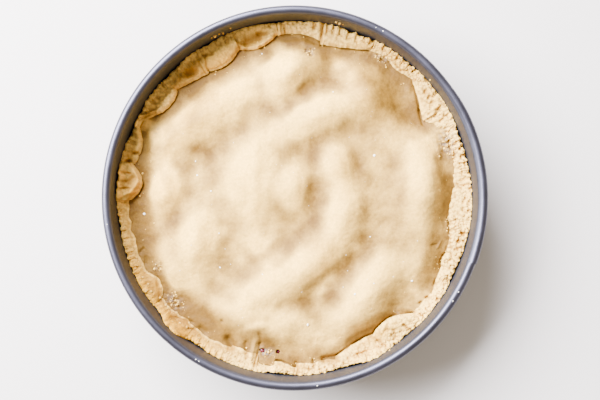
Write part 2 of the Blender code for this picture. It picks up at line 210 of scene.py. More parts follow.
# %% [markdown]
# ## Colours and nodes
#
# Colours are picked as sRGB hex values, the way a colour picker shows them. Shaders want linear
# light, so one function turns the one into the other.

# %% Colour and node helpers
def colour(hex_value):
    """An sRGB hex colour such as "#F4E3C6" as linear red, green, blue and alpha."""
    channels = [int(hex_value[place:place + 2], 16) / 255.0 for place in (1, 3, 5)]
    linear = [c / 12.92 if c <= 0.04045 else ((c + 0.055) / 1.055) ** 2.4 for c in channels]
    return (*linear, 1.0)


def add_node(tree, kind, inputs=None, **settings):
    """Add a node, set its properties, and fill its inputs with values or with other outputs."""
    made = tree.nodes.new(kind)
    for key, value in settings.items():
        setattr(made, key, value)
    for key, value in (inputs or {}).items():
        if isinstance(value, bpy.types.NodeSocket):
            tree.links.new(value, made.inputs[key])
        else:
            made.inputs[key].default_value = value
    return made


def new_material(name):
    material = bpy.data.materials.new(name)
    material.use_nodes = True
    return material, material.node_tree, material.node_tree.nodes["Principled BSDF"]


def finish_material(material, shader, colour_from, **plain):
    """Link the base colour, and set each plain input, written with _ for a space, on its socket."""
    material.node_tree.links.new(colour_from, shader.inputs["Base Color"])
    for key, value in plain.items():
        shader.inputs[key.replace("_", " ")].default_value = value
    print("material", material.name)
    return material


print("a cream as linear light:", [round(part, 3) for part in colour("#F4E3C6")])

# %% [markdown]
# ## Raw shortcrust
#
# Shortcrust is flour rubbed with cold butter. Rolled out, it is matte and cream-coloured, with a
# fine floury grain. Where butter soaks through it turns golden, and where it is torn the plums'
# juice stains it. The browner dough in dips, fork marks, creases, pits, under the folds' lips,
# along the lid's rim and on the left side's lips is painted shade. A picture wrapped round the pie
# would blur and stretch over the folds. So every point of a mesh carries three numbers: butter,
# painted shade with a little random tone, and juice, and the material mixes its creams by them.
# Light goes about a millimetre into raw dough before it comes out again, and this subsurface
# scattering keeps small edges and dents soft.

# %% Material: raw shortcrust
PATCH_SIZE = 26.0 * MM      # the tone of rolled dough wanders over centimetres, as its butter does
MOTTLE_SIZE = 2.2 * MM      # crumbs of butter that the rolling pin has flattened
GRAIN_SIZE = 1.3 * MM       # grains of flour are ten times finer; drawn coarse enough to show
GRAIN_DEPTH = 0.5 * MM
JUICE_STAIN = "#7E6E62"     # plum juice thinned by flour and butter is a greyed mauve


def make_dough(name, pale, golden, shaded, grain_strength):
    """Raw dough gives the eye a matte, uneven cream with a soft glow, and hardly any shine."""
    material, tree, shader = new_material(name)
    place = add_node(tree, "ShaderNodeTexCoord").outputs["Object"]
    butter, painted_shade_and_tone, juice = (
        add_node(tree, "ShaderNodeAttribute", attribute_name=mark).outputs["Fac"]
        for mark in ("butter", "painted_shade_and_tone", "juice"))
    patches, mottle, grain = (
        add_node(tree, "ShaderNodeTexNoise", {
            "Vector": place, "Scale": 1.0 / size, "Detail": detail, "Roughness": fineness,
        }).outputs["Fac"]
        for size, detail, fineness in (
            (PATCH_SIZE, 5.0, 0.65), (MOTTLE_SIZE, 4.0, 0.7), (GRAIN_SIZE, 5.0, 0.7)))
    uneven, light_and_dark = (
        add_node(tree, "ShaderNodeMapRange", {
            "Value": pattern, "From Min": low, "From Max": high, "To Min": least, "To Max": most,
        }).outputs[0]
        for pattern, low, high, least, most in (
            (patches, 0.4, 0.75, 0.0, 0.35), (mottle, 0.3, 0.7, 0.77, 1.12)))
    # the third, brown cream is mixed in by random darker patches and by the painted shade
    uneven_and_painted_shade = add_node(tree, "ShaderNodeMath", {0: uneven, 1: painted_shade_and_tone},
                       operation="ADD", use_clamp=True)
    tone = colour(pale)
    for share, next_tone in ((butter, golden), (uneven_and_painted_shade.outputs[0], shaded), (juice, JUICE_STAIN)):
        tone = add_node(tree, "ShaderNodeMix", {
            "Factor": share, "A": tone, "B": colour(next_tone)},
            data_type="RGBA").outputs["Result"]
    mottled = add_node(tree, "ShaderNodeMix", {"Factor": 1.0, "A": tone, "B": light_and_dark},
                       data_type="RGBA", blend_type="MULTIPLY")
    bump = add_node(tree, "ShaderNodeBump", {
        "Height": grain, "Strength": grain_strength, "Distance": GRAIN_DEPTH})
    tree.links.new(bump.outputs["Normal"], shader.inputs["Normal"])
    return finish_material(material, shader, mottled.outputs["Result"], Roughness=0.62,
                           Specular_IOR_Level=0.18, Subsurface_Weight=0.1,
                           Subsurface_Radius=(1.0, 0.85, 0.6), Subsurface_Scale=1.2 * MM)


# each dough: a pale cream, a golden cream for butter, and a brown for the painted shade
lid_dough = make_dough("raw_shortcrust_rolled", "#F6C55F", "#EEB03C", "#6B4B15", 0.7)
edge_dough = make_dough("raw_shortcrust_pinched", "#F5C864", "#F3B224", "#94661A", 0.9)

# %% [markdown]
# ## Flour and wet plum
#
# The board and the rolling pin are floured, so specks of flour stay on the dough and on the tin.
# Single grains are far too small to show, so a speck is a whole pinch of them, and its pattern is
# of clumps, each a few grains wide. Under the lid lie halved plums, and two specks of them show
# through small tears. Both stuffs only need two tones that wander into each other.

# %% Materials: flour and wet plum
CLUMP_SIZE = 0.4 * MM
PLUM_STREAK = 5.0 * MM      # from the purple near the skin to the red of the flesh


def make_two_toned(name, size, detail, dark, light, **plain):
    material, tree, shader = new_material(name)
    place = add_node(tree, "ShaderNodeTexCoord").outputs["Object"]
    pattern = add_node(tree, "ShaderNodeTexNoise", {
        "Vector": place, "Scale": 1.0 / size, "Detail": detail})
    tone = add_node(tree, "ShaderNodeMix", {
        "Factor": pattern.outputs["Fac"], "A": colour(dark), "B": colour(light)},
        data_type="RGBA")
    return finish_material(material, shader, tone.outputs["Result"], **plain)


# flour gives the eye a flat, slightly warm white, without any gloss
flour_dust = make_two_toned("wheat_flour", CLUMP_SIZE, 2.0, "#EDE2CC", "#FFFFFA",
                            Roughness=0.95, Specular_IOR_Level=0.1)
# wet plum gives the eye a deep purple to red, with small sharp highlights
plum_flesh = make_two_toned("plum_flesh_wet", PLUM_STREAK, 4.0, "#2A1024", "#74202C",
                            Roughness=0.22, Subsurface_Weight=0.15, Subsurface_Scale=1.5 * MM)

# %% [markdown]
# ## Tinplate
#
# Baking tins are steel sheet with a thin coat of tin, which dulls over the years to a grey that
# still mirrors its surroundings softly. It is a metal, so its colour is its reflection, and the
# rest is roughness: smudges make it vary over centimetres, and the rolling of the sheet leaves
# fine lines round the band. Inside, baking has left a film of old fat, darker, rougher and
# streaked from top to bottom. The band carries a number called inside, 1 on the inner wall and 0
# elsewhere, and the material turns darker and less metallic by it.

# %% Material: dull tinplate
SMUDGE_SIZE = 18.0 * MM
LINE_LENGTH, LINE_WIDTH = 30.0 * MM, 0.5 * MM       # the real lines are finer; these just show
STREAK_WIDTH, STREAK_LENGTH = 2.4 * MM, 40.0 * MM
SMOOTHEST, ROUGHEST = 0.38, 0.47
FILM_ROUGHNESS, FILM_METAL = 0.18, -0.4             # what the film of fat adds


def make_tinplate():
    """Old tinplate gives the eye a cool dark grey with broad, soft highlights."""
    material, tree, shader = new_material("tinplate_dulled")
    place = add_node(tree, "ShaderNodeTexCoord").outputs["Object"]
    inside = add_node(tree, "ShaderNodeAttribute", attribute_name="inside").outputs["Fac"]
    smudges = add_node(tree, "ShaderNodeTexNoise", {
        "Vector": place, "Scale": 1.0 / SMUDGE_SIZE, "Detail": 5.0, "Roughness": 0.6})
    lines = add_node(tree, "ShaderNodeMapping", {
        "Vector": place, "Scale": (1.0 / LINE_LENGTH, 1.0 / LINE_LENGTH, 1.0 / LINE_WIDTH)})
    rolled = add_node(tree, "ShaderNodeTexNoise", {
        "Vector": lines.outputs["Vector"], "Scale": 1.0, "Detail": 3.0})
    runs = add_node(tree, "ShaderNodeMapping", {
        "Vector": place, "Scale": (1.0 / STREAK_WIDTH, 1.0 / STREAK_WIDTH, 1.0 / STREAK_LENGTH)})
    streaks = add_node(tree, "ShaderNodeTexNoise", {
        "Vector": runs.outputs["Vector"], "Scale": 1.0, "Detail": 4.0, "Roughness": 0.6})
    metal, film = (
        add_node(tree, "ShaderNodeMix", {
            "Factor": pattern.outputs["Fac"], "A": colour(dark), "B": colour(light)},
            data_type="RGBA").outputs["Result"]
        for pattern, dark, light in ((smudges, "#44434A", "#595865"), (streaks, "#292A2F", "#42434C")))
    tone = add_node(tree, "ShaderNodeMix", {"Factor": inside, "A": metal, "B": film},
                    data_type="RGBA")
    rough = add_node(tree, "ShaderNodeMapRange", {
        "Value": smudges.outputs["Fac"], "From Min": 0.3, "From Max": 0.7,
        "To Min": SMOOTHEST, "To Max": ROUGHEST})
    for socket, change, start in (("Metallic", FILM_METAL, 1.0),
                                  ("Roughness", FILM_ROUGHNESS, rough.outputs[0])):
        changed = add_node(tree, "ShaderNodeMath", {0: inside, 1: change, 2: start},
                           operation="MULTIPLY_ADD")
        tree.links.new(changed.outputs[0], shader.inputs[socket])
    bump = add_node(tree, "ShaderNodeBump", {
        "Height": rolled.outputs["Fac"], "Strength": 0.12, "Distance": 0.1 * MM})
    tree.links.new(bump.outputs["Normal"], shader.inputs["Normal"])
    return finish_material(material, shader, tone.outputs["Result"])


tinplate = make_tinplate()

# %% [markdown]
# ## The tin's band
#
# The band is one strip of sheet, bent round until its ends lie over each other. Its upper edge is
# rolled outwards over a wire, and its foot is folded into a channel that grips the base. That is a
# turned shape: a profile drawn once and spun round the axis. The spin starts where the sheet
# ends, and stops a hair short of a full turn, so that the step in the seam can be a crisp one.

# %% The band's profile
SHEET = 0.8
BEAD_RADIUS = 3.2
BEAD_SIDES = 28
WALL_ROWS = (50.0, 30.0, 12.0)      # heights at which the plain wall is divided
FOOT_TOP = 6.8
FOOT_DEPTH = 2.8


def arc(centre, radius, start, end, sides):
    """Points (r, z) along an arc of a profile, from one angle to the other, in degrees."""
    turns = [math.radians(mix(start, end, side / sides)) for side in range(sides + 1)]
    return [(centre[0] + radius * math.cos(turn), centre[1] + radius * math.sin(turn))
            for turn in turns]


def band_profile():
    """The cut through the band: round the bead, down outside, round the foot, and up inside."""
    outside = TIN_RADIUS + SHEET
    channel = outside + FOOT_DEPTH - SHEET
    bead_centre = (TIN_RADIUS + BEAD_RADIUS, TIN_TOP - BEAD_RADIUS)
    last = -180.0 + math.degrees(math.acos((BEAD_RADIUS - SHEET) / BEAD_RADIUS))
    points = arc(bead_centre, BEAD_RADIUS, 180.0, last, BEAD_SIDES)
    points += [(outside, z) for z in (*WALL_ROWS, FOOT_TOP)]
    points += arc((outside + 0.3, 3.0), FOOT_DEPTH - 0.3, 70.0, -60.0, 6)
    # the sheet turns under, and the fold leaves a channel for the base
    points += [(TIN_RADIUS + 0.9, 0.4), (TIN_RADIUS + 0.6, 0.6), (TIN_RADIUS + 0.6, 1.2)]
    points += [(channel, 1.3), (channel, 3.1), (TIN_RADIUS, 4.2)]
    return points + [(TIN_RADIUS, z) for z in reversed(WALL_ROWS)]


profile_points = band_profile()
print("the band's profile has", len(profile_points), "points")

# %% The tin's band
LAP_START = math.radians(-20.0)
LAP_TURN = math.radians(45.0)       # how far the two ends lie over each other
LAP_GAP = math.radians(0.25)
LAP_STEP = 0.7
BAND_STEPS = 288
BAND_SHARP = math.radians(38.0)     # folds sharper than this stay crisp


def lap_ends(points, radius):
    """Push the outer face of the band out where the one end of the sheet lies over the other."""
    slack = LAP_GAP / 4.0
    turned = (np.arctan2(points[:, 1], points[:, 0]) - LAP_START + slack) % TAU - slack
    outer = smooth_step(TIN_RADIUS + 0.1, TIN_RADIUS + SHEET, radius)
    push = LAP_STEP * outer * (1.0 - smooth_step(LAP_TURN, LAP_TURN * 1.3, turned))
    points[:, :2] *= ((radius + push) / radius)[:, None]


def make_band():
    bm = bmesh.new()
    profile = [bm.verts.new((radius, 0.0, height)) for radius, height in profile_points]
    rim = [bm.edges.new((here, after))
           for here, after in zip(profile, profile[1:] + profile[:1])]
    bmesh.ops.rotate(bm, verts=profile, matrix=Matrix.Rotation(LAP_START, 3, "Z"))
    spun = bmesh.ops.spin(bm, geom=profile + rim, axis=(0.0, 0.0, 1.0), cent=(0.0, 0.0, 0.0),
                          angle=TAU - LAP_GAP, steps=BAND_STEPS, use_merge=False)
    last_rim = [thing for thing in spun["geom_last"] if isinstance(thing, bmesh.types.BMEdge)]
    bmesh.ops.bridge_loops(bm, edges=rim + last_rim)
    mesh = mesh_from(bm, "tin_band_fine")
    points = read_points(mesh)
    radius = np.hypot(points[:, 0], points[:, 1])
    lap_ends(points, radius)
    write_points(mesh, points)
    # the film of fat ends on the bead's inner shoulder
    wall = 1.0 - smooth_step(TIN_RADIUS + 0.6, TIN_RADIUS + 1.6, radius)
    mark_points(mesh, "inside", wall * smooth_step(TIN_TOP - 0.6, TIN_TOP - 1.8, points[:, 2]))
    close_up(mesh)
    mesh.set_sharp_from_angle(angle=BAND_SHARP)
    return add_piece("tin_band_fine", mesh, tinplate, ["tin_band"])


make_band()

# %% [markdown]
# ## The tin's base
#
# The base is a pressed plate. It is spun from a profile as well, its edge steps up into the band's
# channel, and a shallow ring pressed into it keeps it flat. Only its underside can be seen, from
# below.

# %% The tin's base
BASE_STEPS = 192
BASE_SHEET = 1.0
BASE_SHARP = math.radians(30.0)
STEP_IN = 6.2                       # from the plate's rim to where it steps down
RING = ((22.0, 0.0), (23.0, 0.35), (26.0, 0.35), (27.0, 0.0))   # in from the step, and up


def make_base():
    radius, top = base_high.x, base_high.z
    flat = radius - STEP_IN
    profile = [(0.0, BASE_SHEET), (flat, BASE_SHEET), (flat + 1.5, top), (radius, top)]
    profile += [(radius, top - BASE_SHEET), (flat + 2.2, top - BASE_SHEET), (flat + 0.7, 0.0)]
    profile += [(flat - inward, height) for inward, height in RING] + [(0.0, 0.0)]
    bm = bmesh.new()
    verts = [bm.verts.new((r, 0.0, z)) for r, z in profile]
    edges = [bm.edges.new(pair) for pair in zip(verts, verts[1:])]
    bmesh.ops.spin(bm, geom=verts + edges, axis=(0.0, 0.0, 1.0), cent=(0.0, 0.0, 0.0),
                   angle=TAU, steps=BASE_STEPS, use_merge=True)
    mesh = mesh_from(bm, "tin_base_fine")
    close_up(mesh)
    mesh.set_sharp_from_angle(angle=BASE_SHARP)
    return add_piece("tin_base_fine", mesh, tinplate, ["tin_base"])


make_base()

# %% [markdown]
# ## The lid's form
#
# The lid is a sheet of dough rolled to between three and four millimetres. It swells where a plum
# half lies and sags between them. A cloth simulation over real plums could find that form, but a
# new one each time something changed. So each swell is a soft bell curve with its own place, size
# and height, and one side can be steeper, as over the cut face of a plum.

# %% The lid's swells and sags
LID_EDGE = 37.6                     # height of the lid's upper face at its rim
LID_RISE = 4.0                      # how much higher it lies over the fruit
LID_CROWN = 1.6                     # and how much it domes on top of that
CROWN_RADIUS = 113.0
LID_THICKNESS = 3.4
SHOULDER_IN, SHOULDER_OUT = 92.0, 121.0
SWELLS_FADE_IN, SWELLS_FADE_OUT = 120.0, 100.0
TROUGH, TROUGH_RADIUS, TROUGH_WIDTH = 1.4, 109.0, 8.0   # the sheet sags beside the last fruit

# x and y of the middle, length and width of the bell, turn of its length in degrees, height, and
# how wide the one side is against the other: below 1 it is the steeper side
Swell = namedtuple("Swell", "x y length width turn height steep")
SWELLS = [Swell(*row) for row in (
    (-3, 92, 20, 14, 55, 12, 0.9), (19, 61, 28, 14, 22, 10.5, 0.9), (55, 78, 18, 15, 115, 9, 1.2),
    (84, 68, 24, 15, -50, -6, 1), (95, 7, 26, 15, 88, 11, 1), (31, 24, 19, 15, 100, 6.5, 0.7),
    (0, 9, 17, 12, 88, 7.5, 0.8), (-26, 20, 32, 24, 88, 10, 0.9), (35, -11, 19, 14, 74, 8.5, 0.9),
    (13, -46, 28, 15, 38, 10.5, 0.9), (-24, -70, 22, 15, 35, 8, 1), (53, -70, 31, 15, 57, 11.5, 1),
    (97, -52, 17, 12, 62, 7.5, 0.9), (-65, 60, 36, 13, 33, 11, 1.2), (-94, 6, 15, 12, 85, 7, 1),
    (-74, -34, 25, 15, 76, 10.5, 1), (-6, -92, 15, 12, 20, 5, 1), (30, 96, 13, 12, 0, -4, 1),
    (-50, -98, 22, 9, -28, -2, 1), (-102, 42, 17, 11, 68, 6, 1), (-96, -50, 14, 12, 118, 4, 1),
    (-44, -90, 14, 11, -26, 4, 1), (60, -90, 16, 10, 34, 3, 1),
)]


def swell_height(swell, x, y):
    turn = math.radians(swell.turn)
    along = (x - swell.x) * math.cos(turn) + (y - swell.y) * math.sin(turn)
    across = (y - swell.y) * math.cos(turn) - (x - swell.x) * math.sin(turn)
    width = np.where(across > 0.0, swell.width, swell.width * swell.steep)
    return swell.height * bell(along, swell.length) * bell(across, width)


def lid_top(x, y):
    """Height of the lid's upper face over arrays of places."""
    radius = np.hypot(x, y)
    plateau = 1.0 - smooth_step(SHOULDER_IN, SHOULDER_OUT, radius)
    crown = LID_CROWN * np.maximum(0.0, 1.0 - (radius / CROWN_RADIUS) ** 2)
    swells = sum(swell_height(swell, x, y) for swell in SWELLS)
    swells = swells * smooth_step(SWELLS_FADE_IN, SWELLS_FADE_OUT, radius)
    trough = TROUGH * bell(radius - TROUGH_RADIUS, TROUGH_WIDTH)
    trough *= smooth_step(-0.35, 0.5, ripple(x, y, 34.0, 25))
    return LID_EDGE + LID_RISE * plateau + crown + swells - trough


print(len(SWELLS), "swells, the middle lies at", lid_top(0.0, 0.0).round(1), "mm")

# %% [markdown]
# ## Marks of fingers, fork and knife
#
# Hands leave their marks on soft dough: pinched creases, dents of fingertips, and ridges where a
# fold rolled over. Each mark runs from one place to another, given as an angle in degrees and a
# distance from the middle. A positive height stands up, a negative one is pressed in. The same
# marks shape the lid and the folded edge, so that a crease can run from the one to the other.

# %% The marks
Mark = namedtuple("Mark", "angle radius to_angle to_radius width height")
MARKS = [Mark(*row) for row in (
    # creases between folds, and slanted pleats
    (80.6, 129, 80.3, 116, 0.9, -1.6), (32.6, 128, 30.2, 119, 1.1, -1.6),
    (28.6, 128, 27.6, 121, 1, -1.2), (153, 128, 148.4, 119.5, 1, -1.4),
    (151.2, 128, 146.8, 120.5, 1, -1.2), (122.6, 124, 119.6, 121, 1, -1.6),
    (122.2, 122.5, 124.2, 113, 0.8, -1), (276.8, 126, 276.5, 120, 0.9, -1.5),
    (271.6, 127, 270.6, 121, 1, -1.6), (256.6, 127, 256.8, 109.5, 0.9, -1.2),
    (253.2, 122, 251.5, 112, 1.4, -1), (254.8, 123, 254.8, 110, 1.4, 1.2),
    (224, 125.5, 230.5, 118.5, 1.3, -1.3), (229, 127, 233, 121, 1.2, -0.8),
    (216, 122, 210, 116.5, 1.4, -1), (199.4, 120.5, 198.4, 117, 0.8, -1.2),
    (203.6, 119.5, 201.6, 117.8, 0.8, -1), (335, 128, 331.2, 120.5, 1.2, 1.3),
    (331.8, 127, 328.8, 121.5, 1.2, -1.2), (311.2, 128, 310.6, 122.5, 1.3, -1.8),
    (306.2, 127, 305.2, 122.5, 1.2, -1.6), (301.6, 128, 300.2, 121, 1.2, -1.8),
    (95.4, 128, 95, 120.5, 1, 1.3), (93.3, 127, 93.2, 122, 0.8, -1.5),
    # dents of fingertips
    (130.3, 119.3, 128.8, 117.6, 3, -3.6), (107, 119.5, 102.5, 120.6, 3.4, -3.8),
    (102.5, 123.3, 99.5, 122, 1.2, -2), (110.2, 121, 108.6, 115.5, 1.5, 1.6),
    (108.6, 115.5, 103.5, 113.8, 1.5, 1.6), (103.5, 113.8, 98, 118.5, 1.5, 1.6),
    (284.2, 121.6, 280.5, 121, 2.6, -4.4), (247.2, 118, 245, 114.5, 3, -3.4),
    (236, 118.4, 234.4, 118, 2.6, -2.2), (348.2, 125.2, 347.9, 124.2, 1.3, -1.9),
    (345.6, 124.6, 345.2, 124, 1.5, -2.2), (342.7, 124.8, 342.3, 124, 1.4, -2),
    (358.6, 124, 358.2, 123.8, 1.1, -1.2), (356.4, 124, 356, 123.8, 1.1, -1.2),
    (39.2, 123.8, 38.8, 123, 1.4, -1.9), (37, 123.4, 36.7, 122.8, 1.3, -1.9),
    (34.9, 123.4, 34.6, 122.8, 1.3, -1.7), (337.8, 122.4, 337.2, 121.8, 1.6, -2.2),
    (323.4, 122.4, 323, 121.8, 1.1, -3), (320.6, 120.6, 320, 120.2, 1, -1.8),
    (325, 128, 324.2, 128.6, 1, -2.4), (167.6, 125.8, 167.2, 124, 1.2, -2.6),
    (164.4, 122.5, 164, 120, 1, -2.2), (14.9, 122, 14, 121.6, 1.3, -2.2),
    (20.2, 121.3, 17.8, 121, 1.3, -1.8), (295.2, 124, 291, 123.6, 1.3, -1.5),
    # the knob where the strip of dough began and ended
    (179, 126, 178.2, 119.5, 1.5, 1.8), (178.2, 119.5, 174, 114.2, 1.5, 1.6),
    (174, 114.2, 169.6, 118.5, 1.4, 1.2), (174.6, 121, 173, 118.5, 2.6, -2),
    (176.8, 127.5, 176.6, 121.5, 0.9, -1.6), (174.2, 128, 174.4, 123.5, 0.9, -1.4),
    (171.4, 127, 171.6, 121, 0.9, -1.5),
    # rolls and ridges of the lid
    (124.7, 49.4, 192, 29, 4, 0.9), (197, 74, 210, 80, 5, 0.7), (95, 114.2, 86.5, 114.8, 2, 0.9),
    (86.5, 114.8, 81.6, 112, 1.8, 0.9), (85.4, 108.6, 83.2, 105.4, 1.1, -1.6),
    (91, 112, 90.6, 105, 1.2, 0.5), (22, 112.2, 15.6, 110.6, 1.4, 0.8),
    (35, 112, 29.8, 109.2, 1.2, -1.6), (43.6, 116, 43.2, 115.4, 1.8, 1.1),
    (317, 120, 313.4, 111.5, 1.4, 0.7), (162, 110.6, 155.8, 116, 2, 1.2),
    (155.4, 115.5, 150.6, 108.5, 2.6, 0.9), (256.8, 109.5, 255.6, 102, 1.5, -0.7),
    (251, 101.5, 256, 96.5, 3.4, 1.4), (12, 52, 30, 60, 4, 0.6), (239.6, 104.4, 239.2, 104.2, 1, -1.2),
    (342, 110.4, 341.2, 106.5, 0.8, -0.9), (343.2, 111.6, 340.8, 111, 0.7, 0.7),
    (207.4, 110, 206.2, 108.4, 1, -0.8),
)]


def place_of(angle, radius):
    """x and y of a place given by its angle in degrees and its distance from the middle."""
    turn = np.radians(angle)
    return np.cos(turn) * radius, np.sin(turn) * radius


def mark_relief(x, y):
    """Height that all the marks add at each place, and how far each place is pressed in."""
    height, pressed = np.zeros(np.shape(x)), np.zeros(np.shape(x))
    for mark in MARKS:
        start_x, start_y = place_of(mark.angle, mark.radius)
        end_x, end_y = place_of(mark.to_angle, mark.to_radius)
        run_x, run_y = end_x - start_x, end_y - start_y
        length = run_x * run_x + run_y * run_y
        along = np.clip(((x - start_x) * run_x + (y - start_y) * run_y) / length, 0.0, 1.0)
        away = np.hypot(x - start_x - along * run_x, y - start_y - along * run_y)
        relief = mark.height * bell(away, mark.width)
        height += relief
        pressed += np.maximum(0.0, -relief)
    return height, pressed


print(len(MARKS), "marks")

# %% [markdown]
# ## Torn, buttery and floury places
#
# Raw dough isn't one even cream. It tears and crumbles where it was stretched, turns golden where
# butter has soaked it, and stays whiter where flour from the board lies on it. The butter patches
# in the trough beside the folds and under their lips are painted shade as well. Each such place is
# a soft oval: its angle and distance from the middle, how far it runs along the rim and across
# it, and how strong it is in each kind.

# %% The patches
PATCH_KINDS = "rough juice butter flour"
Patch = namedtuple("Patch", "angle radius along across " + PATCH_KINDS, defaults=(0.0,) * 4)
PATCHES = (
    # torn and crumbly places
    Patch(20, 120.5, 9.5, 6.5, rough=1, juice=0.9), Patch(220.5, 116.8, 7, 4.6, rough=1, juice=0.5),
    Patch(207, 112.5, 4, 3, rough=0.6, juice=0.3, butter=0.3),
    Patch(259.5, 115.5, 5, 3.4, rough=0.5, juice=0.9, butter=0.2),
    Patch(84, 107.5, 3.4, 3, rough=0.6, juice=0.6),
    Patch(58.2, 121.5, 5.5, 3, rough=0.9, juice=0.5, butter=0.2),
    Patch(154, 112.2, 2.2, 2, rough=0.2, juice=0.9), Patch(351.2, 118.5, 4, 5.5, rough=1),
    Patch(337.5, 119, 3, 3.5, rough=0.7), Patch(312, 112.5, 3, 2.5, rough=0.1, juice=0.4),
    # where butter has soaked the dough, mostly in the trough beside the folds; there and under the
    # lips it is painted shade as well
    Patch(190, 114, 28, 9, butter=1.3), Patch(182, 94, 30, 12, butter=0.35),
    Patch(119, 112.5, 25, 8, butter=0.9), Patch(121.5, 107.6, 11, 3.4, butter=1.7),
    Patch(140, 94, 44, 12, butter=0.4), Patch(30, 44, 13, 11, butter=0.25),
    Patch(300, 43, 13, 11, butter=0.3), Patch(30, 72, 22, 11, butter=0.2),
    Patch(234, 114.5, 24, 9, butter=1.5), Patch(298, 112.5, 16, 4.5, butter=0.5),
    Patch(277, 115, 12, 4, butter=0.5), Patch(49, 98, 26, 15, butter=0.8),
    Patch(4, 109, 24, 6, butter=0.3), Patch(76, 108, 16, 6, butter=0.5),
    Patch(338, 106, 14, 6, butter=0.3), Patch(222, 122.5, 50, 9, butter=1.4),
    Patch(270, 120, 11, 7, butter=0.8), Patch(58, 120, 24, 8, butter=0.5),
    Patch(246, 117.5, 5, 5, butter=0.9), Patch(301, 117, 16, 4, butter=0.5),
    # where flour from the board still lies on the dough; there the painted shade is taken away
    Patch(155, 115, 8, 11, flour=0.9), Patch(143, 104, 13, 6, flour=0.5),
    Patch(166, 92, 14, 9, flour=0.4), Patch(118, 88, 16, 8, flour=0.4),
    Patch(90, 57, 17, 24, flour=0.25), Patch(236, 44, 17, 14, flour=0.4),
    Patch(205, 58, 20, 20, flour=0.25), Patch(165, 44, 17, 12, flour=0.2),
    Patch(293, 69, 21, 9, flour=0.45), Patch(98, 99, 14, 11, flour=0.7),
    Patch(176, 101, 12, 7, flour=0.6), Patch(215, 106, 10, 11, flour=0.8),
    Patch(253, 88, 12, 9, flour=0.5), Patch(70, 103, 13, 9, flour=0.5),
    Patch(322, 112, 16, 9, flour=0.6), Patch(20, 100, 14, 12, flour=0.5),
    Patch(280, 107, 20, 7, flour=0.6),
)


def patch_share(x, y, kind):
    """How rough, juicy, buttery or floury the patches make each place. 1 is a strong one."""
    share = np.zeros(np.shape(x))
    for patch in PATCHES:
        centre_x, centre_y = place_of(patch.angle, patch.radius)
        turn = math.radians(patch.angle)
        out = (x - centre_x) * math.cos(turn) + (y - centre_y) * math.sin(turn)
        side = (y - centre_y) * math.cos(turn) - (x - centre_x) * math.sin(turn)
        spot = bell(side, patch.along) * bell(out, patch.across)
        share = np.maximum(share, getattr(patch, kind) * spot)
    if kind == "juice":             # juice seeps through in blots
        share = share * smooth_step(-0.3, 0.4, ripple(x, y, 2.4, 17))
    return share


for kind in PATCH_KINDS.split():
    print(sum(getattr(patch, kind) > 0.0 for patch in PATCHES), "patches are marked", kind)

# %% [markdown]
# ## The folded edge
#
# The pastry that lines the tin stands up past the lid, and is pinched down over it fold by fold.
# Each fold is a tongue of dough with a lip towards the middle, a crease at each end, and tine
# marks at the wall. Thirty tongues modelled one by one would leave thirty joints to hide. So one
# strip of quads is drawn round the pie, and each fold lifts, pulls and marks its own stretch.

# %% The folds
# end: the angle where the fold ends and the next one starts; near, half, far: how far from the
# middle its lip lies at its start, halfway and at its end; lip: how high the lip stands off the
# lid; swell: how much it is puffed up; fork: how deep the tine marks are
Fold = namedtuple("Fold", "end near half far lip swell fork")
FIRST_FOLD = -8.0
FOLDS = [Fold(*row) for row in (
    (4, 113.5, 114.5, 117, 2.4, 0.5, 0.1), (12.5, 117.3, 117.6, 119.5, 1, 0.2, 0.9),
    (25, 120, 121, 120.5, 1, -0.4, 0.9), (31, 119.5, 115, 111, 1.2, 0.4, 0.3),
    (45, 110.2, 115.4, 122.3, 3.6, 0.7, 0.2), (55, 122.6, 120.7, 121.5, 2.2, 0.2, 0.9),
    (63, 122, 122.6, 122, 1.6, 0, 0.9), (80.6, 122, 116, 114.4, 3.8, 0.4, 0.9),
    (96, 116.6, 120.6, 119.6, 3, 0.5, 0.6), (110.5, 120.6, 113, 116.5, 3.6, 0.4, 0),
    (124.2, 116, 109.4, 112.2, 5, 0.9, 0.6), (137.6, 111, 113.4, 117.6, 4.6, 0.6, 0.5),
    (151.5, 116.4, 113.6, 122.4, 4.4, 0.2, 0.9), (156, 122.6, 125, 123.2, 1.6, -0.4, 0.2),
    (164.5, 124, 118.4, 118, 4.4, 0.6, 0.7), (168, 119, 118.4, 120, 2.6, -0.6, 0.3),
    (180.6, 121, 112, 119.4, 6, 2.4, 0), (207, 121.6, 121.4, 120.6, 1.6, 0.2, 0.75),
    (217, 120.4, 115.9, 121.4, 2.2, 0.8, 0.2), (222, 122, 121.4, 122.4, 1.4, -0.6, 0.2),
    (232, 122.6, 119.6, 119.4, 1.6, 1.4, 0.2), (247, 119.4, 120.2, 119.2, 1.4, 0.6, 0.6),
    (257.2, 118, 117.6, 118.2, 1.6, 0, 0.3), (263.2, 123.4, 125, 123, 1.2, -0.4, 0.2),
    (270.6, 120.4, 121.6, 125, 3.4, 1.6, 0.1), (284.4, 122, 121.4, 122, 1.8, 0.2, 0.7),
    (299.8, 120.6, 115.4, 115.2, 3.4, 0.6, 0.3), (316, 115.6, 111.8, 121.6, 4.2, 0.4, 0.3),
    (325, 121.6, 121, 122, 1.6, -0.2, 0.4), (335.6, 123, 119.8, 119, 2.6, 0.8, 0.3),
    (340.4, 118.4, 117, 118.4, 3.2, 0.6, 0), (352, 118, 117.2, 114.2, 2.6, 0.5, 0.1),
)]
EDGE_RADIUS = 129.4


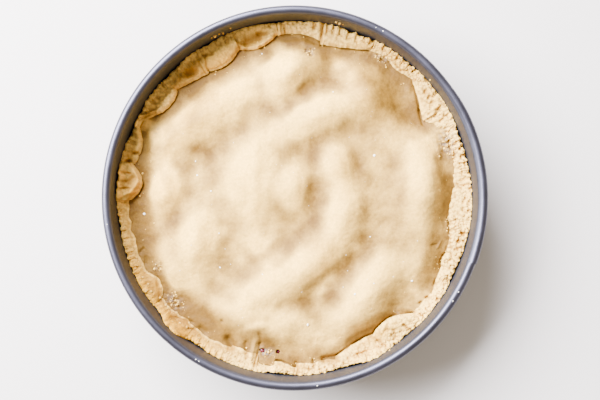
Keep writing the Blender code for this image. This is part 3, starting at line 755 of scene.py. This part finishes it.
def fold_facts(angle):
    """What the fold at each of an array of angles, in degrees, is like. seam is in mm."""
    start = FIRST_FOLD
    angle = (angle - FIRST_FOLD) % 360.0 + FIRST_FOLD
    keys = ("reach", "lip", "swell", "fork", "along", "seam")
    facts = {key: np.zeros_like(angle) for key in keys}
    for fold in FOLDS:
        here = (angle >= start) & (angle < fold.end)
        along = (angle[here] - start) / (fold.end - start)
        near_end = np.minimum(angle[here] - start, fold.end - angle[here])
        facts["along"][here] = along
        facts["reach"][here] = (fold.near * (1.0 - along) * (1.0 - 2.0 * along)
                                + fold.half * 4.0 * along * (1.0 - along)
                                + fold.far * along * (2.0 * along - 1.0))
        facts["seam"][here] = np.radians(near_end) * EDGE_RADIUS
        for key in ("lip", "swell", "fork"):
            facts[key][here] = getattr(fold, key)
        start = fold.end
    return facts


def dryness(angle):
    """How dry the dough of the edge is: it crumbles most on the right and is smooth on the left."""
    return 0.8 + 0.5 * np.cos(np.radians(angle) + 0.3)


print(len(FOLDS), "folds; dryness", dryness(-17.0).round(2), "on the right and",
      dryness(163.0).round(2), "on the left")

# %% [markdown]
# ## The lid's mesh
#
# A disc could be a fan of triangles, but those get long and thin towards the middle. Here a
# square grid is drawn out into a disc, ring by ring, so that every face stays near one size.
# A coarser disc closes it underneath, and the two rims are bridged.

# %% A disc from a grid
LID_CELLS = 290
UNDER_CELLS = 90
CROWDING = 0.78             # below 1 the rings crowd towards the rim, where the detail is


def grid_to_disc(points, radius):
    """Move the points of a grid from -1 to 1 onto a disc, so that squares become rings."""
    x, y = points[:, 0], points[:, 1]
    wide = np.abs(x) >= np.abs(y)
    reach = np.where(wide, x, y)
    safe = np.where(np.abs(reach) < 1e-9, 1.0, reach)
    turn = np.where(wide, math.pi / 4.0 * y / safe, math.pi / 2.0 - math.pi / 4.0 * x / safe)
    reach = np.sign(reach) * np.abs(reach) ** CROWDING * radius
    return reach * np.cos(turn), reach * np.sin(turn)


def disc_mesh(name, cells, under_cells):
    """Two grids over each other, joined round their rims. The lower one lies at z = 0."""
    bm = bmesh.new()
    bmesh.ops.create_grid(bm, x_segments=under_cells, y_segments=under_cells, size=1.0)
    upper = bmesh.ops.create_grid(bm, x_segments=cells, y_segments=cells, size=1.0)["verts"]
    bmesh.ops.translate(bm, verts=upper, vec=(0.0, 0.0, 1.0))
    rims = [edge for edge in bm.edges if edge.is_boundary]
    bmesh.ops.bridge_loops(bm, edges=rims)
    return mesh_from(bm, name)


print("the lid is", LID_CELLS, "faces wide")

# %% [markdown]
# ## Painted shade in hollows, lips and tears
#
# In the hollows the dough is browner: painted shade, as less light reaches it, and less flour
# stays there. How deep a place lies in a dip comes from its own height and the lid's height all
# round it, and painted shade also grows towards the rim. Right under a fold's lip lies a narrow
# gap, painted darker, and beside it a painted soft shade. The tears are real holes, cut through
# both faces and lined with dough, so that the plums below can show.

# %% Painted shade in hollows, lips and tears
LOOK_ROUND = ((8.0, 1.6), (17.0, 4.5))      # how far to look, and the dip that counts in full
# the margin adds painted shade towards the rim, where the wall and the folds shade the lid
MARGIN_IN, MARGIN_OUT, MARGIN_PAINTED_SHADE = 80.0, 120.0, 0.38
GAP_WIDTH, GAP_DEPTH = 0.8, 2.2
# where the painted soft shade beside the lips lies
SHADE_IN, SHADE_WIDTH = 2.6, 3.6            # how far in from the lip, and how wide
Tear = namedtuple("Tear", "x y radius")
TEARS = (Tear(-23.9, -112.2, 2.1), Tear(-12.2, -112.9, 1.6))


def painted_shade_share(x, y, form):
    """Painted shade: 0 on a crest, 1 in a dip lower than the dough round it, and more near the rim."""
    dip = np.zeros(np.shape(x))
    ring = [place_of(turn, 1.0) for turn in range(0, 360, 45)]
    for reach, full in LOOK_ROUND:
        around = sum(lid_top(x + reach * u, y + reach * v) for u, v in ring) / len(ring)
        dip += 0.5 * smooth_step(-0.4 * full, full, around - form)
    radius = np.hypot(x, y) + 8.0 * ripple(x, y, 24.0, 24)
    dip *= 1.0 - 0.5 * smooth_step(86.0, 106.0, radius)
    margin = MARGIN_PAINTED_SHADE * smooth_step(MARGIN_IN, MARGIN_OUT, radius)
    return np.clip(dip + margin, 0.0, 1.0)


def under_lips(x, y):
    """The gap along the folds' lips and the painted shade beside it, each from 0 to about 1."""
    angle = np.degrees(np.arctan2(y, x))
    facts = fold_facts(angle)
    past_lip = np.hypot(x, y) - facts["reach"]
    gap = bell(past_lip + 0.2, GAP_WIDTH) * dryness(angle)
    gap *= smooth_step(1.8, 3.6, facts["lip"]) * (0.75 + 0.8 * ripple(x, y, 9.0, 22))
    shade = bell(past_lip + SHADE_IN, SHADE_WIDTH)
    shade *= smooth_step(1.0, 4.0, facts["lip"]) * (0.8 + 0.8 * ripple(x, y, 17.0, 27))
    return gap, shade


def tear_open(mesh):
    """Cut the tears through both faces of the lid, and line each hole with dough."""
    bm = bmesh.new()
    bm.from_mesh(mesh)
    for tear in TEARS:
        near = [face for face in bm.faces if math.dist(
            face.calc_center_median().xy, (tear.x, tear.y)) < tear.radius]
        bmesh.ops.delete(bm, geom=near, context="FACES")
        edges = [edge for edge in bm.edges if edge.is_boundary]
        bmesh.ops.bridge_loops(bm, edges=edges)
    bm.to_mesh(mesh)
    bm.free()


print("tears are", [2.0 * tear.radius for tear in TEARS], "mm wide")

# %% The lid
LID_WAVES = ((0.45, 15.0, 3), (0.28, 7.0, 4), (0.15, 3.0, 5), (0.05, 1.4, 9))
CRUMB_SIZE, FINE_CRUMB = 2.6, 1.3


def lid_painted_shade(x, y, form, butter):
    """Painted shade and butter of the lid's dough, less under flour, before marks and tears."""
    painted_shade_and_tone = 1.35 * painted_shade_share(x, y, form) * (0.9 + 0.6 * ripple(x, y, 13.0, 23)) - 0.03
    painted_shade_and_tone += 0.85 * butter
    painted_shade_and_tone -= patch_share(x, y, "flour") * (1.0 + 0.5 * ripple(x, y, 8.0, 26))
    return np.maximum(painted_shade_and_tone, 0.0)


def make_lid():
    mesh = disc_mesh("pastry_lid_fine", LID_CELLS, UNDER_CELLS)
    points = read_points(mesh)
    upper = points[:, 2] > 0.5
    x, y = grid_to_disc(points, LID_RADIUS)
    form = lid_top(x, y)
    relief, pressed = mark_relief(x, y)
    gap, shade = under_lips(x, y)
    rough = patch_share(x, y, "rough")
    crumbs = lumps(x, y, CRUMB_SIZE, 6) - 0.6
    fine = relief + sum(high * ripple(x, y, size, layer) for high, size, layer in LID_WAVES)
    fine -= GAP_DEPTH * gap
    fine += rough * (2.9 * crumbs + 0.1 + 0.6 * ripple(x, y, FINE_CRUMB, 10))
    z = np.where(upper, form + fine, form - LID_THICKNESS)
    write_points(mesh, np.stack([x, y, z], axis=1))
    butter = patch_share(x, y, "butter") * (0.85 + 0.3 * ripple(x, y, 9.0, 15))
    # painted shade in pressed marks, in the gap and beside the lips; crumb tips lighter, pits darker
    painted_shade_and_tone = lid_painted_shade(x, y, form, butter) + 0.4 * pressed + 0.45 * gap + 0.4 * shade
    mark_points(mesh, "painted_shade_and_tone", soft_share(1.5 * (painted_shade_and_tone - 1.9 * rough * crumbs)))
    mark_points(mesh, "juice", patch_share(x, y, "juice"))
    mark_points(mesh, "butter", np.clip(butter, 0.0, 1.0))
    tear_open(mesh)
    close_up(mesh)
    return add_piece("pastry_lid_fine", mesh, lid_dough, ["pastry_lid"])


lid = make_lid()

# %% [markdown]
# ## The surface of the edge
#
# Along the wall the dough was pressed with a fork. In places it climbs the wall, and where it was
# worked least it has crumbled back. Each of these is a small function of the angle, and one
# function adds them up. Noise that only varies along the edge is read on one ring, so that a
# groove or a ragged stretch runs all the way across.

# %% Along the edge
Climb = namedtuple("Climb", "angle half_width height")
CLIMBS = (Climb(175.0, 6.0, 8.5), Climb(226.0, 5.5, 11.5), Climb(295.0, 6.0, 8.0),
          Climb(66.0, 2.0, 3.0))
CLIMB_INWARD = 5.5          # over this far from the wall a climb runs out
FORK_PITCH = 2.5            # degrees from tine mark to tine mark: 5.6 mm, as on a dinner fork
FORK_DEPTH = 2.2
FORK_LENGTH = 8.5


def fork_grooves(angle, ring, fork):
    """How deep the tine marks are round the edge, and how hard the fork was pressed."""
    force = np.clip(0.75 + 0.6 * ripple(*ring, 6.0, 12), 0.15, 1.2)
    phase = angle / FORK_PITCH + 0.45 * ripple(*ring, 20.0, 11)
    return smooth_step(0.15, 0.7, 0.5 - 0.5 * np.cos(TAU * phase)) * fork * force, force


def edge_outline(ring, loose, groove):
    """How far out the edge reaches. Loose dough has crumbled back from the wall."""
    outline = EDGE_RADIUS + 0.45 * (1.0 - loose) - 0.5 * groove
    outline -= (0.1 + 1.4 * loose) * np.abs(ripple(*ring, 9.0, 1))
    return outline - (0.2 + 0.6 * loose) * np.abs(ripple(*ring, 2.6, 2))


def climb_height(angle, ring, loose):
    """How far the dough climbs the wall: far in a few places, and a little where it is whole."""
    climb = np.zeros(len(angle))
    for rise in CLIMBS:
        away = (angle - rise.angle + 180.0) % 360.0 - 180.0
        climb += rise.height * np.exp(-(away / rise.half_width) ** 4)
    return climb * (1.0 + 0.25 * ripple(*ring, 4.0, 14)) + 1.4 * (1.0 - loose)


print("tine marks are", round(math.radians(FORK_PITCH) * EDGE_RADIUS, 1), "mm apart")

# %% Across the edge
EDGE_HEIGHT = 41.6
CREASE_DEPTH = 1.1
CREASE_WIDTH = 1.5
LIP_ROUND = 3.2             # how far from its end a lip begins to round off
TILT = 0.9                  # each fold's start lies over the end of the one before


def crease_share(angle, ring, inward, x, y):
    """1 in the creases at a fold's ends, which slant as they run in from the wall."""
    slant = 0.35 * inward * ripple(*ring, 16.0, 19)
    seam = fold_facts(angle + np.degrees(slant / EDGE_RADIUS))["seam"]
    return bell(seam, CREASE_WIDTH) * (0.75 + 0.5 * ripple(x, y, 5.0, 20))


def lip_drop(to_lip, width, lip):
    """How far a lip has dropped where it rounds off. to_lip is how far its end still is."""
    nearness = np.clip(1.0 - to_lip / np.minimum(LIP_ROUND, 0.4 * width), 0.0, 1.0)
    return 0.55 * lip * (1.0 - np.sqrt(1.0 - 0.98 * nearness ** 2))


def crumbling(x, y, angle, ring, inward, fork):
    """Crumbs side by side, above and below 0, how rough they are, and the pits between them."""
    crumbs = 1.2 * (lumps(x, y, CRUMB_SIZE, 6) - 0.55) + 0.6 * (lumps(x, y, FINE_CRUMB, 8) - 0.5)
    rough = 0.25 + 0.8 * (1.0 - smooth_step(0.0, 5.0, inward)) * (1.0 - 0.4 * fork)
    rough += 0.6 * smooth_step(-0.1, 0.6, ripple(*ring, 22.0, 18))
    rough = rough * dryness(angle) + 1.9 * patch_share(x, y, "rough")
    pits = np.maximum(0.0, -crumbs) * dryness(angle) ** 2
    pits *= 1.0 - 0.6 * smooth_step(3.0, 9.0, inward)
    return crumbs, rough, pits * smooth_step(-0.7, 0.5, ripple(x, y, 8.0, 28))


print("a lip 4 mm high drops", lip_drop(0.0, 12.0, 4.0).round(1), "mm at its end")

# %% The whole edge
EDGE_STEPS = 1920
TOP_ROWS = 34
LIP_ROWS = 7


def edge_points(row, angle):
    """Shape and marks of the folded edge. row counts from the top of its outer side to the lip."""
    facts, ring = fold_facts(angle), place_of(angle, EDGE_RADIUS)
    thick_lip = smooth_step(1.4, 3.0, facts["lip"])
    loose = smooth_step(-0.2, 0.5, ripple(*ring, 26.0, 13))
    groove, force = fork_grooves(angle, ring, facts["fork"])
    outline = edge_outline(ring, loose, groove)
    reach = facts["reach"] + 0.8 + 0.5 * ripple(*ring, 4.0, 4)
    reach += 1.3 * (1.0 - thick_lip) * ripple(*ring, 7.0, 16)
    width, share = outline - reach, np.clip(row / TOP_ROWS, 0.0, 1.0)
    inward = share * width
    x, y = place_of(angle, outline - inward)
    # the fold's own form, from the wall over to the lip that lies on the lid
    ground = lid_top(*place_of(angle, reach))
    height = mix(EDGE_HEIGHT + 0.9 * ripple(*ring, 30.0, 2), ground + facts["lip"],
                 smooth_step(0.0, 0.9, share))
    height += climb_height(angle, ring, loose) * (1.0 - smooth_step(0.0, CLIMB_INWARD, inward))
    height += facts["swell"] * np.sin(math.pi * share)
    height += TILT * (0.5 - facts["along"]) * thick_lip
    height -= lip_drop(width - inward, width, facts["lip"])
    height -= (0.1 + 1.0 * loose) * np.clip(1.0 - inward / 1.2, 0.0, 1.0) ** 2
    # what hands and fork left in it
    crease = crease_share(angle, ring, inward, x, y) * smooth_step(1.0, 2.5, facts["lip"])
    mark_length = np.minimum(FORK_LENGTH, 0.75 * width) * (0.6 + 0.55 * force)
    tines = groove * (1.0 - smooth_step(0.45, 1.0, inward / mark_length))
    relief, pressed = mark_relief(x, y)
    height += relief - CREASE_DEPTH * crease - FORK_DEPTH * tines
    # crumbs, and the dough's own unevenness
    crumbs, rough, pits = crumbling(x, y, angle, ring, inward, facts["fork"])
    height += rough * crumbs - 1.3 * pits
    height += 0.4 * ripple(x, y, 6.0, 8) + 0.14 * ripple(x, y, 1.6, 7)
    # painted shade in fork marks, dents, creases, pits and between crumbs, with crumb tips lighter,
    # painted shade on the lips of the smooth left side, golden butter, and a random tone
    butter = np.clip(patch_share(x, y, "butter"), 0.0, 1.0)
    butter *= smooth_step(0.0, 1.2, width - inward)
    painted_shade_and_tone = 0.26 * tines + 0.4 * pressed + 0.15 * crease - (0.25 + 1.5 * rough) * crumbs
    painted_shade_and_tone += 0.75 * butter * smooth_step(2.0, 7.0, inward) + 1.6 * pits
    # painted shade on the left, smooth side, growing from the wall towards the lips
    painted_shade_and_tone += 0.1 + 0.32 * (1.3 - dryness(angle)) * smooth_step(1.0, 8.0, inward)
    painted_shade_and_tone += 0.25 * ripple(x, y, 11.0, 21)
    return outline - inward, height, ground, painted_shade_and_tone, butter, patch_share(x, y, "juice")


ends = edge_points(np.full(360, float(TOP_ROWS)), np.arange(360.0))[0]
print("lips end between", ends.min().round(1), "and", ends.max().round(1), "mm from the middle")

# %% [markdown]
# ## The pastry case
#
# The case is one strip of quads from the middle of its underside, up the outside, over the folded
# edge and down inside. Only the edge is seen, so nearly all the rows lie there.

# %% The pastry case
CASE_WALL = 5.2
HIDDEN_OUTSIDE = ((0.0, CASE_FLOOR), (125.2, CASE_FLOOR), (CASE_RADIUS, 6.0),
                  (CASE_RADIUS, EDGE_HEIGHT - 7.0))
HIDDEN_INSIDE = ((LID_RADIUS + 0.4, 36.0), (LID_RADIUS + 0.4, CASE_FLOOR + CASE_WALL),
                 (0.0, CASE_FLOOR + CASE_WALL))
LIP_TUCK = 0.9              # how far a lip curls back in under itself
LEAST_LIP = 0.6


def curl_lip(row, radius, height, ground):
    """Carry the rows past the top round the lip and down to the lid."""
    past_lip = np.clip((row - TOP_ROWS) / LIP_ROWS, 0.0, 1.0)
    thick = np.maximum(height - ground, LEAST_LIP)
    radius = radius - LIP_TUCK * np.sin(math.pi * past_lip) + 0.5 * past_lip ** 2
    height = height - thick * (1.0 - np.cos(math.pi * past_lip)) / 2.0 - 0.5 * past_lip
    return radius, height, past_lip


def make_case():
    rows = TOP_ROWS + LIP_ROWS + 1
    count = len(HIDDEN_OUTSIDE) + rows + len(HIDDEN_INSIDE)
    bm = bmesh.new()
    bmesh.ops.create_grid(bm, x_segments=EDGE_STEPS, y_segments=count - 1, size=1.0)
    mesh = mesh_from(bm, "pastry_case_fine")
    flat = read_points(mesh)
    place = np.round((flat[:, 1] + 1.0) / 2.0 * (count - 1)).astype(int)
    angle = flat[:, 0] * 180.0
    radius, height = np.zeros(len(flat)), np.zeros(len(flat))
    numbered = list(enumerate(HIDDEN_OUTSIDE))
    numbered += list(enumerate(HIDDEN_INSIDE, count - len(HIDDEN_INSIDE)))
    for number, (r, z) in numbered:
        radius[place == number], height[place == number] = r, z
    shown = (place >= len(HIDDEN_OUTSIDE)) & (place < len(HIDDEN_OUTSIDE) + rows)
    row = (place[shown] - len(HIDDEN_OUTSIDE)).astype(float)
    r, z, ground, painted_shade_and_tone, butter, juice = edge_points(row, angle[shown])
    radius[shown], height[shown], past_lip = curl_lip(row, r, z, ground)
    # painted shade on the underside of each lip, where it curls down to the lid
    painted_shade_and_tone = soft_share(painted_shade_and_tone + 0.2 * past_lip)
    for name, values in (("painted_shade_and_tone", painted_shade_and_tone), ("butter", butter), ("juice", juice)):
        spread = np.zeros(len(flat))
        spread[shown] = values
        mark_points(mesh, name, spread)
    write_points(mesh, np.stack([*place_of(angle, radius), height], axis=1))
    close_up(mesh)
    return add_piece("pastry_case_fine", mesh, edge_dough, ["pastry_case"])


case = make_case()

# %% [markdown]
# ## The plums
#
# The fruit is a mass that fills the case up to the lid. It only shows through the tears, so it is
# a plain disc that follows the lid from below, and rises a little into each tear.

# %% The plum filling
FILLING_CELLS, FILLING_UNDER = 150, 12
FRUIT_GAP = 0.4             # air under the lid, and above the case's floor
FRUIT_RISE = 2.6


def make_filling():
    mesh = disc_mesh("plum_filling_fine", FILLING_CELLS, FILLING_UNDER)
    points = read_points(mesh)
    upper = points[:, 2] > 0.5
    x, y = grid_to_disc(points, LID_RADIUS)
    z = lid_top(x, y) - LID_THICKNESS - FRUIT_GAP
    for tear in TEARS:
        away = np.hypot(x - tear.x, y - tear.y)
        z += FRUIT_RISE * (1.0 - smooth_step(tear.radius - 1.0, tear.radius + 0.4, away))
    z = np.where(upper, z, CASE_FLOOR + CASE_WALL + FRUIT_GAP)
    write_points(mesh, np.stack([x, y, z], axis=1))
    close_up(mesh)
    return add_piece("plum_filling_fine", mesh, plum_flesh, ["plum_filling"])


make_filling()

# %% [markdown]
# ## Crumbs
#
# Where shortcrust is pinched or torn it crumbles, and the crumbs stay where they fall: along the
# wall, round the torn places, and a few on the lid. Each crumb is a small ball, squashed, turned
# and dented at random. They are dropped straight down onto the dough, so that each one rests on
# what lies under it. All of them share one mesh, because a thousand objects would be slow.

# %% One mesh of crumbs
CRUMB_SINKS = 0.35          # share of a crumb's height that is pressed into the dough
CRUMB_DENTS = 0.35
draw = np.random.default_rng(5)


def scatter(name, places, material, squash=0.7):
    """One mesh of knobbly crumbs, one for each row x, y, z, size of places."""
    ball = bmesh.new()
    bmesh.ops.create_uvsphere(ball, u_segments=8, v_segments=5, radius=1.0)
    single = mesh_from(ball, name + "_one")
    bm = bmesh.new()
    for _ in places:
        bm.from_mesh(single)
    mesh = mesh_from(bm, name)
    points = read_points(mesh)
    count = len(places)
    owner = np.repeat(np.arange(count), len(single.vertices))
    bpy.data.meshes.remove(single)
    places = np.array(places)[owner]
    dents = ripple(points[:, 0] + 3.0 * owner, points[:, 1] + 0.6 * points[:, 2], 0.9, 30)
    points *= (1.0 + CRUMB_DENTS * dents)[:, None]
    turn = draw.uniform(0.0, TAU, count)[owner]
    lean = draw.uniform(-0.7, 0.7, count)[owner]
    stretch = draw.uniform(0.55, 1.0, count)[owner]
    x, y, z = points[:, 0], points[:, 1] * stretch, points[:, 2] * squash
    x, z = x * np.cos(lean) - z * np.sin(lean), x * np.sin(lean) * squash + z * np.cos(lean)
    x, y = x * np.cos(turn) - y * np.sin(turn), x * np.sin(turn) + y * np.cos(turn)
    lifted = z + squash * (1.0 - 2.0 * CRUMB_SINKS)
    write_points(mesh, places[:, :3] + places[:, 3:] * np.stack([x, y, lifted], axis=1))
    mesh.shade_smooth()
    # each crumb gets a random tone, in the mark that carries the dough's painted shade elsewhere
    mark_points(mesh, "painted_shade_and_tone", draw.uniform(0.0, 0.5, count)[owner])
    return add_piece(name, mesh, material)


seen = bpy.context.evaluated_depsgraph_get()
dough_trees = [BVHTree.FromObject(piece, seen) for piece in (case, lid)]


def on_dough(wanted, typical, largest):
    """Places (x, y, z, size) of crumbs that fall at (angle, radius) and lie on the dough."""
    places = []
    for angle, radius in wanted:
        x, y = place_of(angle, radius)
        start = Vector((x, y, TIN_TOP + 10.0)) * MM
        hits = [tree.ray_cast(start, Vector((0.0, 0.0, -1.0)))[0] for tree in dough_trees]
        heights = [hit.z / MM for hit in hits if hit is not None]
        if heights:
            size = min(largest, draw.lognormal(math.log(typical), 0.4))
            places.append((x, y, max(heights), size))
    return places

# %% Crumbs
CRUMB_RUNS = (
    # first angle, last angle, nearest and farthest distance from the middle, how many
    (278.0, 375.0, 123.5, 129.0, 330),
    (196.0, 262.0, 122.5, 129.0, 190),
    (262.0, 278.0, 121.0, 129.0, 50),
    (15.0, 96.0, 123.0, 129.0, 170),
    (96.0, 196.0, 126.0, 129.0, 70),
    (346.0, 354.0, 114.0, 124.0, 40),
    (333.0, 341.0, 115.0, 124.0, 30),
    (0.0, 360.0, 104.0, 121.0, 80),
)
CRUMB_TYPICAL, CRUMB_LARGEST = 0.42, 1.15       # half widths in millimetres
CRUMBS_IN_PATCH = 8.0                           # for each millimetre of a rough patch's size
PATCH_SPREAD = 0.55
FARTHEST = 128.5


def make_crumbs():
    wanted = []
    for first, last, near, far, count in CRUMB_RUNS:
        wanted += list(zip(draw.uniform(first, last, count), draw.uniform(near, far, count)))
    for patch in PATCHES:
        count = round(CRUMBS_IN_PATCH * patch.rough * math.sqrt(patch.along * patch.across))
        side = np.degrees(draw.normal(0.0, PATCH_SPREAD, count) * patch.along / patch.radius)
        out = patch.radius + draw.normal(0.0, PATCH_SPREAD, count) * patch.across
        wanted += list(zip(patch.angle + side, np.minimum(FARTHEST, out)))
    places = on_dough(wanted, CRUMB_TYPICAL, CRUMB_LARGEST)
    return scatter("dough_crumbs", places, edge_dough)


make_crumbs()

# %% [markdown]
# ## Flour and smears
#
# Specks of flour lie on the lid and on the bead, and hands wiped a little dough onto the wall. A
# painted spot would stay flat, so these are small flattened lumps, made as the crumbs are. The
# largest have their own places, and the rest, too small to tell apart, are strewn at random.

# %% Flour and smears
FLOUR_SPOTS = (
    # angle in degrees, distance from the middle in millimetres
    (159.6, 77.0), (166.8, 72.8), (175.2, 61.0), (223.0, 74.2), (247.3, 60.0), (102.7, 108.5),
    (302.2, 82.0), (324.8, 105.0), (313.0, 84.0), (186.0, 111.0), (28.0, 66.0), (205.0, 60.5),
    (70.0, 82.0), (333.0, 62.0), (276.0, 93.0),
)
BEAD_DUST = (
    # angle, size
    (238.6, 0.5), (239.7, 0.4), (277.0, 0.55), (327.0, 0.45), (330.2, 0.5), (62.0, 0.5),
    (64.4, 0.4), (188.0, 0.4),
)
SMEARS = (
    # angle, height on the inner wall, size
    (113.4, 52.0, 1.3), (114.6, 53.0, 0.9), (116.2, 54.0, 1.5), (117.4, 52.6, 0.8),
    (110.6, 57.0, 0.7), (75.4, 54.0, 1.4), (76.6, 55.0, 1.0), (74.4, 52.4, 0.8),
    (302.0, 49.0, 0.8), (41.0, 51.0, 0.7),
)
FINE_SPECKS = 70
STREWN_RADIUS = 105.0


def make_flour():
    places = on_dough(FLOUR_SPOTS, 0.75, 1.1)
    angles = draw.uniform(0.0, 360.0, FINE_SPECKS)
    radii = STREWN_RADIUS * np.sqrt(draw.uniform(0.0, 1.0, FINE_SPECKS))
    places += on_dough(zip(angles, radii), 0.2, 0.4)
    for angle, size in BEAD_DUST:
        places.append((*place_of(angle, TIN_RADIUS + BEAD_RADIUS), TIN_TOP, size))
    return scatter("flour_specks", places, flour_dust, 0.45)


def make_smears():
    places = [(*place_of(angle, TIN_RADIUS + 0.15 - 0.3 * size), height, size)
              for angle, height, size in SMEARS]
    return scatter("dough_smears", places, edge_dough, 0.9)


make_flour()
make_smears()

# %% [markdown]
# ## Floor, light and camera
#
# The pie stands on a plain pale floor, as in a studio. One wide, cool lamp on the upper left
# stands in for a window, so the swells throw long soft shadows. The air around gives a weaker,
# warm light, so that the shaded dough goes golden. The camera looks straight down.

# %% Floor
FLOOR_SIZE = 3000.0


def make_floor():
    material, _, shader = new_material("floor_pale")
    shader.inputs["Base Color"].default_value = colour("#CFC9C2")
    shader.inputs["Roughness"].default_value = 0.8
    bm = bmesh.new()
    bmesh.ops.create_grid(bm, x_segments=1, y_segments=1, size=FLOOR_SIZE)
    mesh = mesh_from(bm, "floor")
    write_points(mesh, read_points(mesh) * MM)
    mesh.materials.append(material)
    put_in_scene("floor", mesh)
    print("the floor is", 2.0 * FLOOR_SIZE * MM, "m wide")


make_floor()

# %% Light
LAMP_DIRECTION = (math.radians(140.0), math.radians(45.0))      # round from the right, and up
LAMP_AWAY, LAMP_WIDTH, LAMP_HEIGHT = 1.3, 1.5, 0.75             # in metres
LAMP_WATTS = 265.0
PIE_HEART = Vector((0.0, 0.0, 0.04))


def add_window():
    turn, rise = LAMP_DIRECTION
    away = Vector((math.cos(turn) * math.cos(rise), math.sin(turn) * math.cos(rise),
                   math.sin(rise)))
    light = bpy.data.lights.new("window", "AREA")
    light.shape = "RECTANGLE"
    light.size, light.size_y = LAMP_WIDTH, LAMP_HEIGHT
    light.energy = LAMP_WATTS
    light.color = colour("#F2F4FF")[:3]
    lamp = put_in_scene("window", light)
    lamp.location = away * LAMP_AWAY + PIE_HEART
    lamp.rotation_mode = "QUATERNION"
    lamp.rotation_quaternion = away.to_track_quat("Z", "Y")
    print("lamp of", LAMP_WATTS, "W at", lamp.location)


add_window()
world = bpy.data.worlds.new("room")
world.use_nodes = True
air = world.node_tree.nodes["Background"]
air.inputs["Color"].default_value = colour("#FFF2E3")
air.inputs["Strength"].default_value = 0.8
bpy.context.scene.world = world

# %% Camera
CAMERA_ABOVE = 700.0        # from the middle of the bead up to the lens
FRAME_WIDTH = 424.6         # what the picture spans at the bead's height
SENSOR = 36.0
ASIDE = (4.0, -1.4)         # the pie stands a little off the middle of the picture


def add_camera():
    data = bpy.data.cameras.new("camera")
    data.sensor_width = SENSOR
    data.lens = SENSOR * CAMERA_ABOVE / FRAME_WIDTH
    camera = put_in_scene("camera", data)
    camera.location = Vector((*ASIDE, TIN_TOP - BEAD_RADIUS + CAMERA_ABOVE)) * MM
    bpy.context.scene.camera = camera
    print("lens", round(data.lens, 1), "mm")


add_camera()
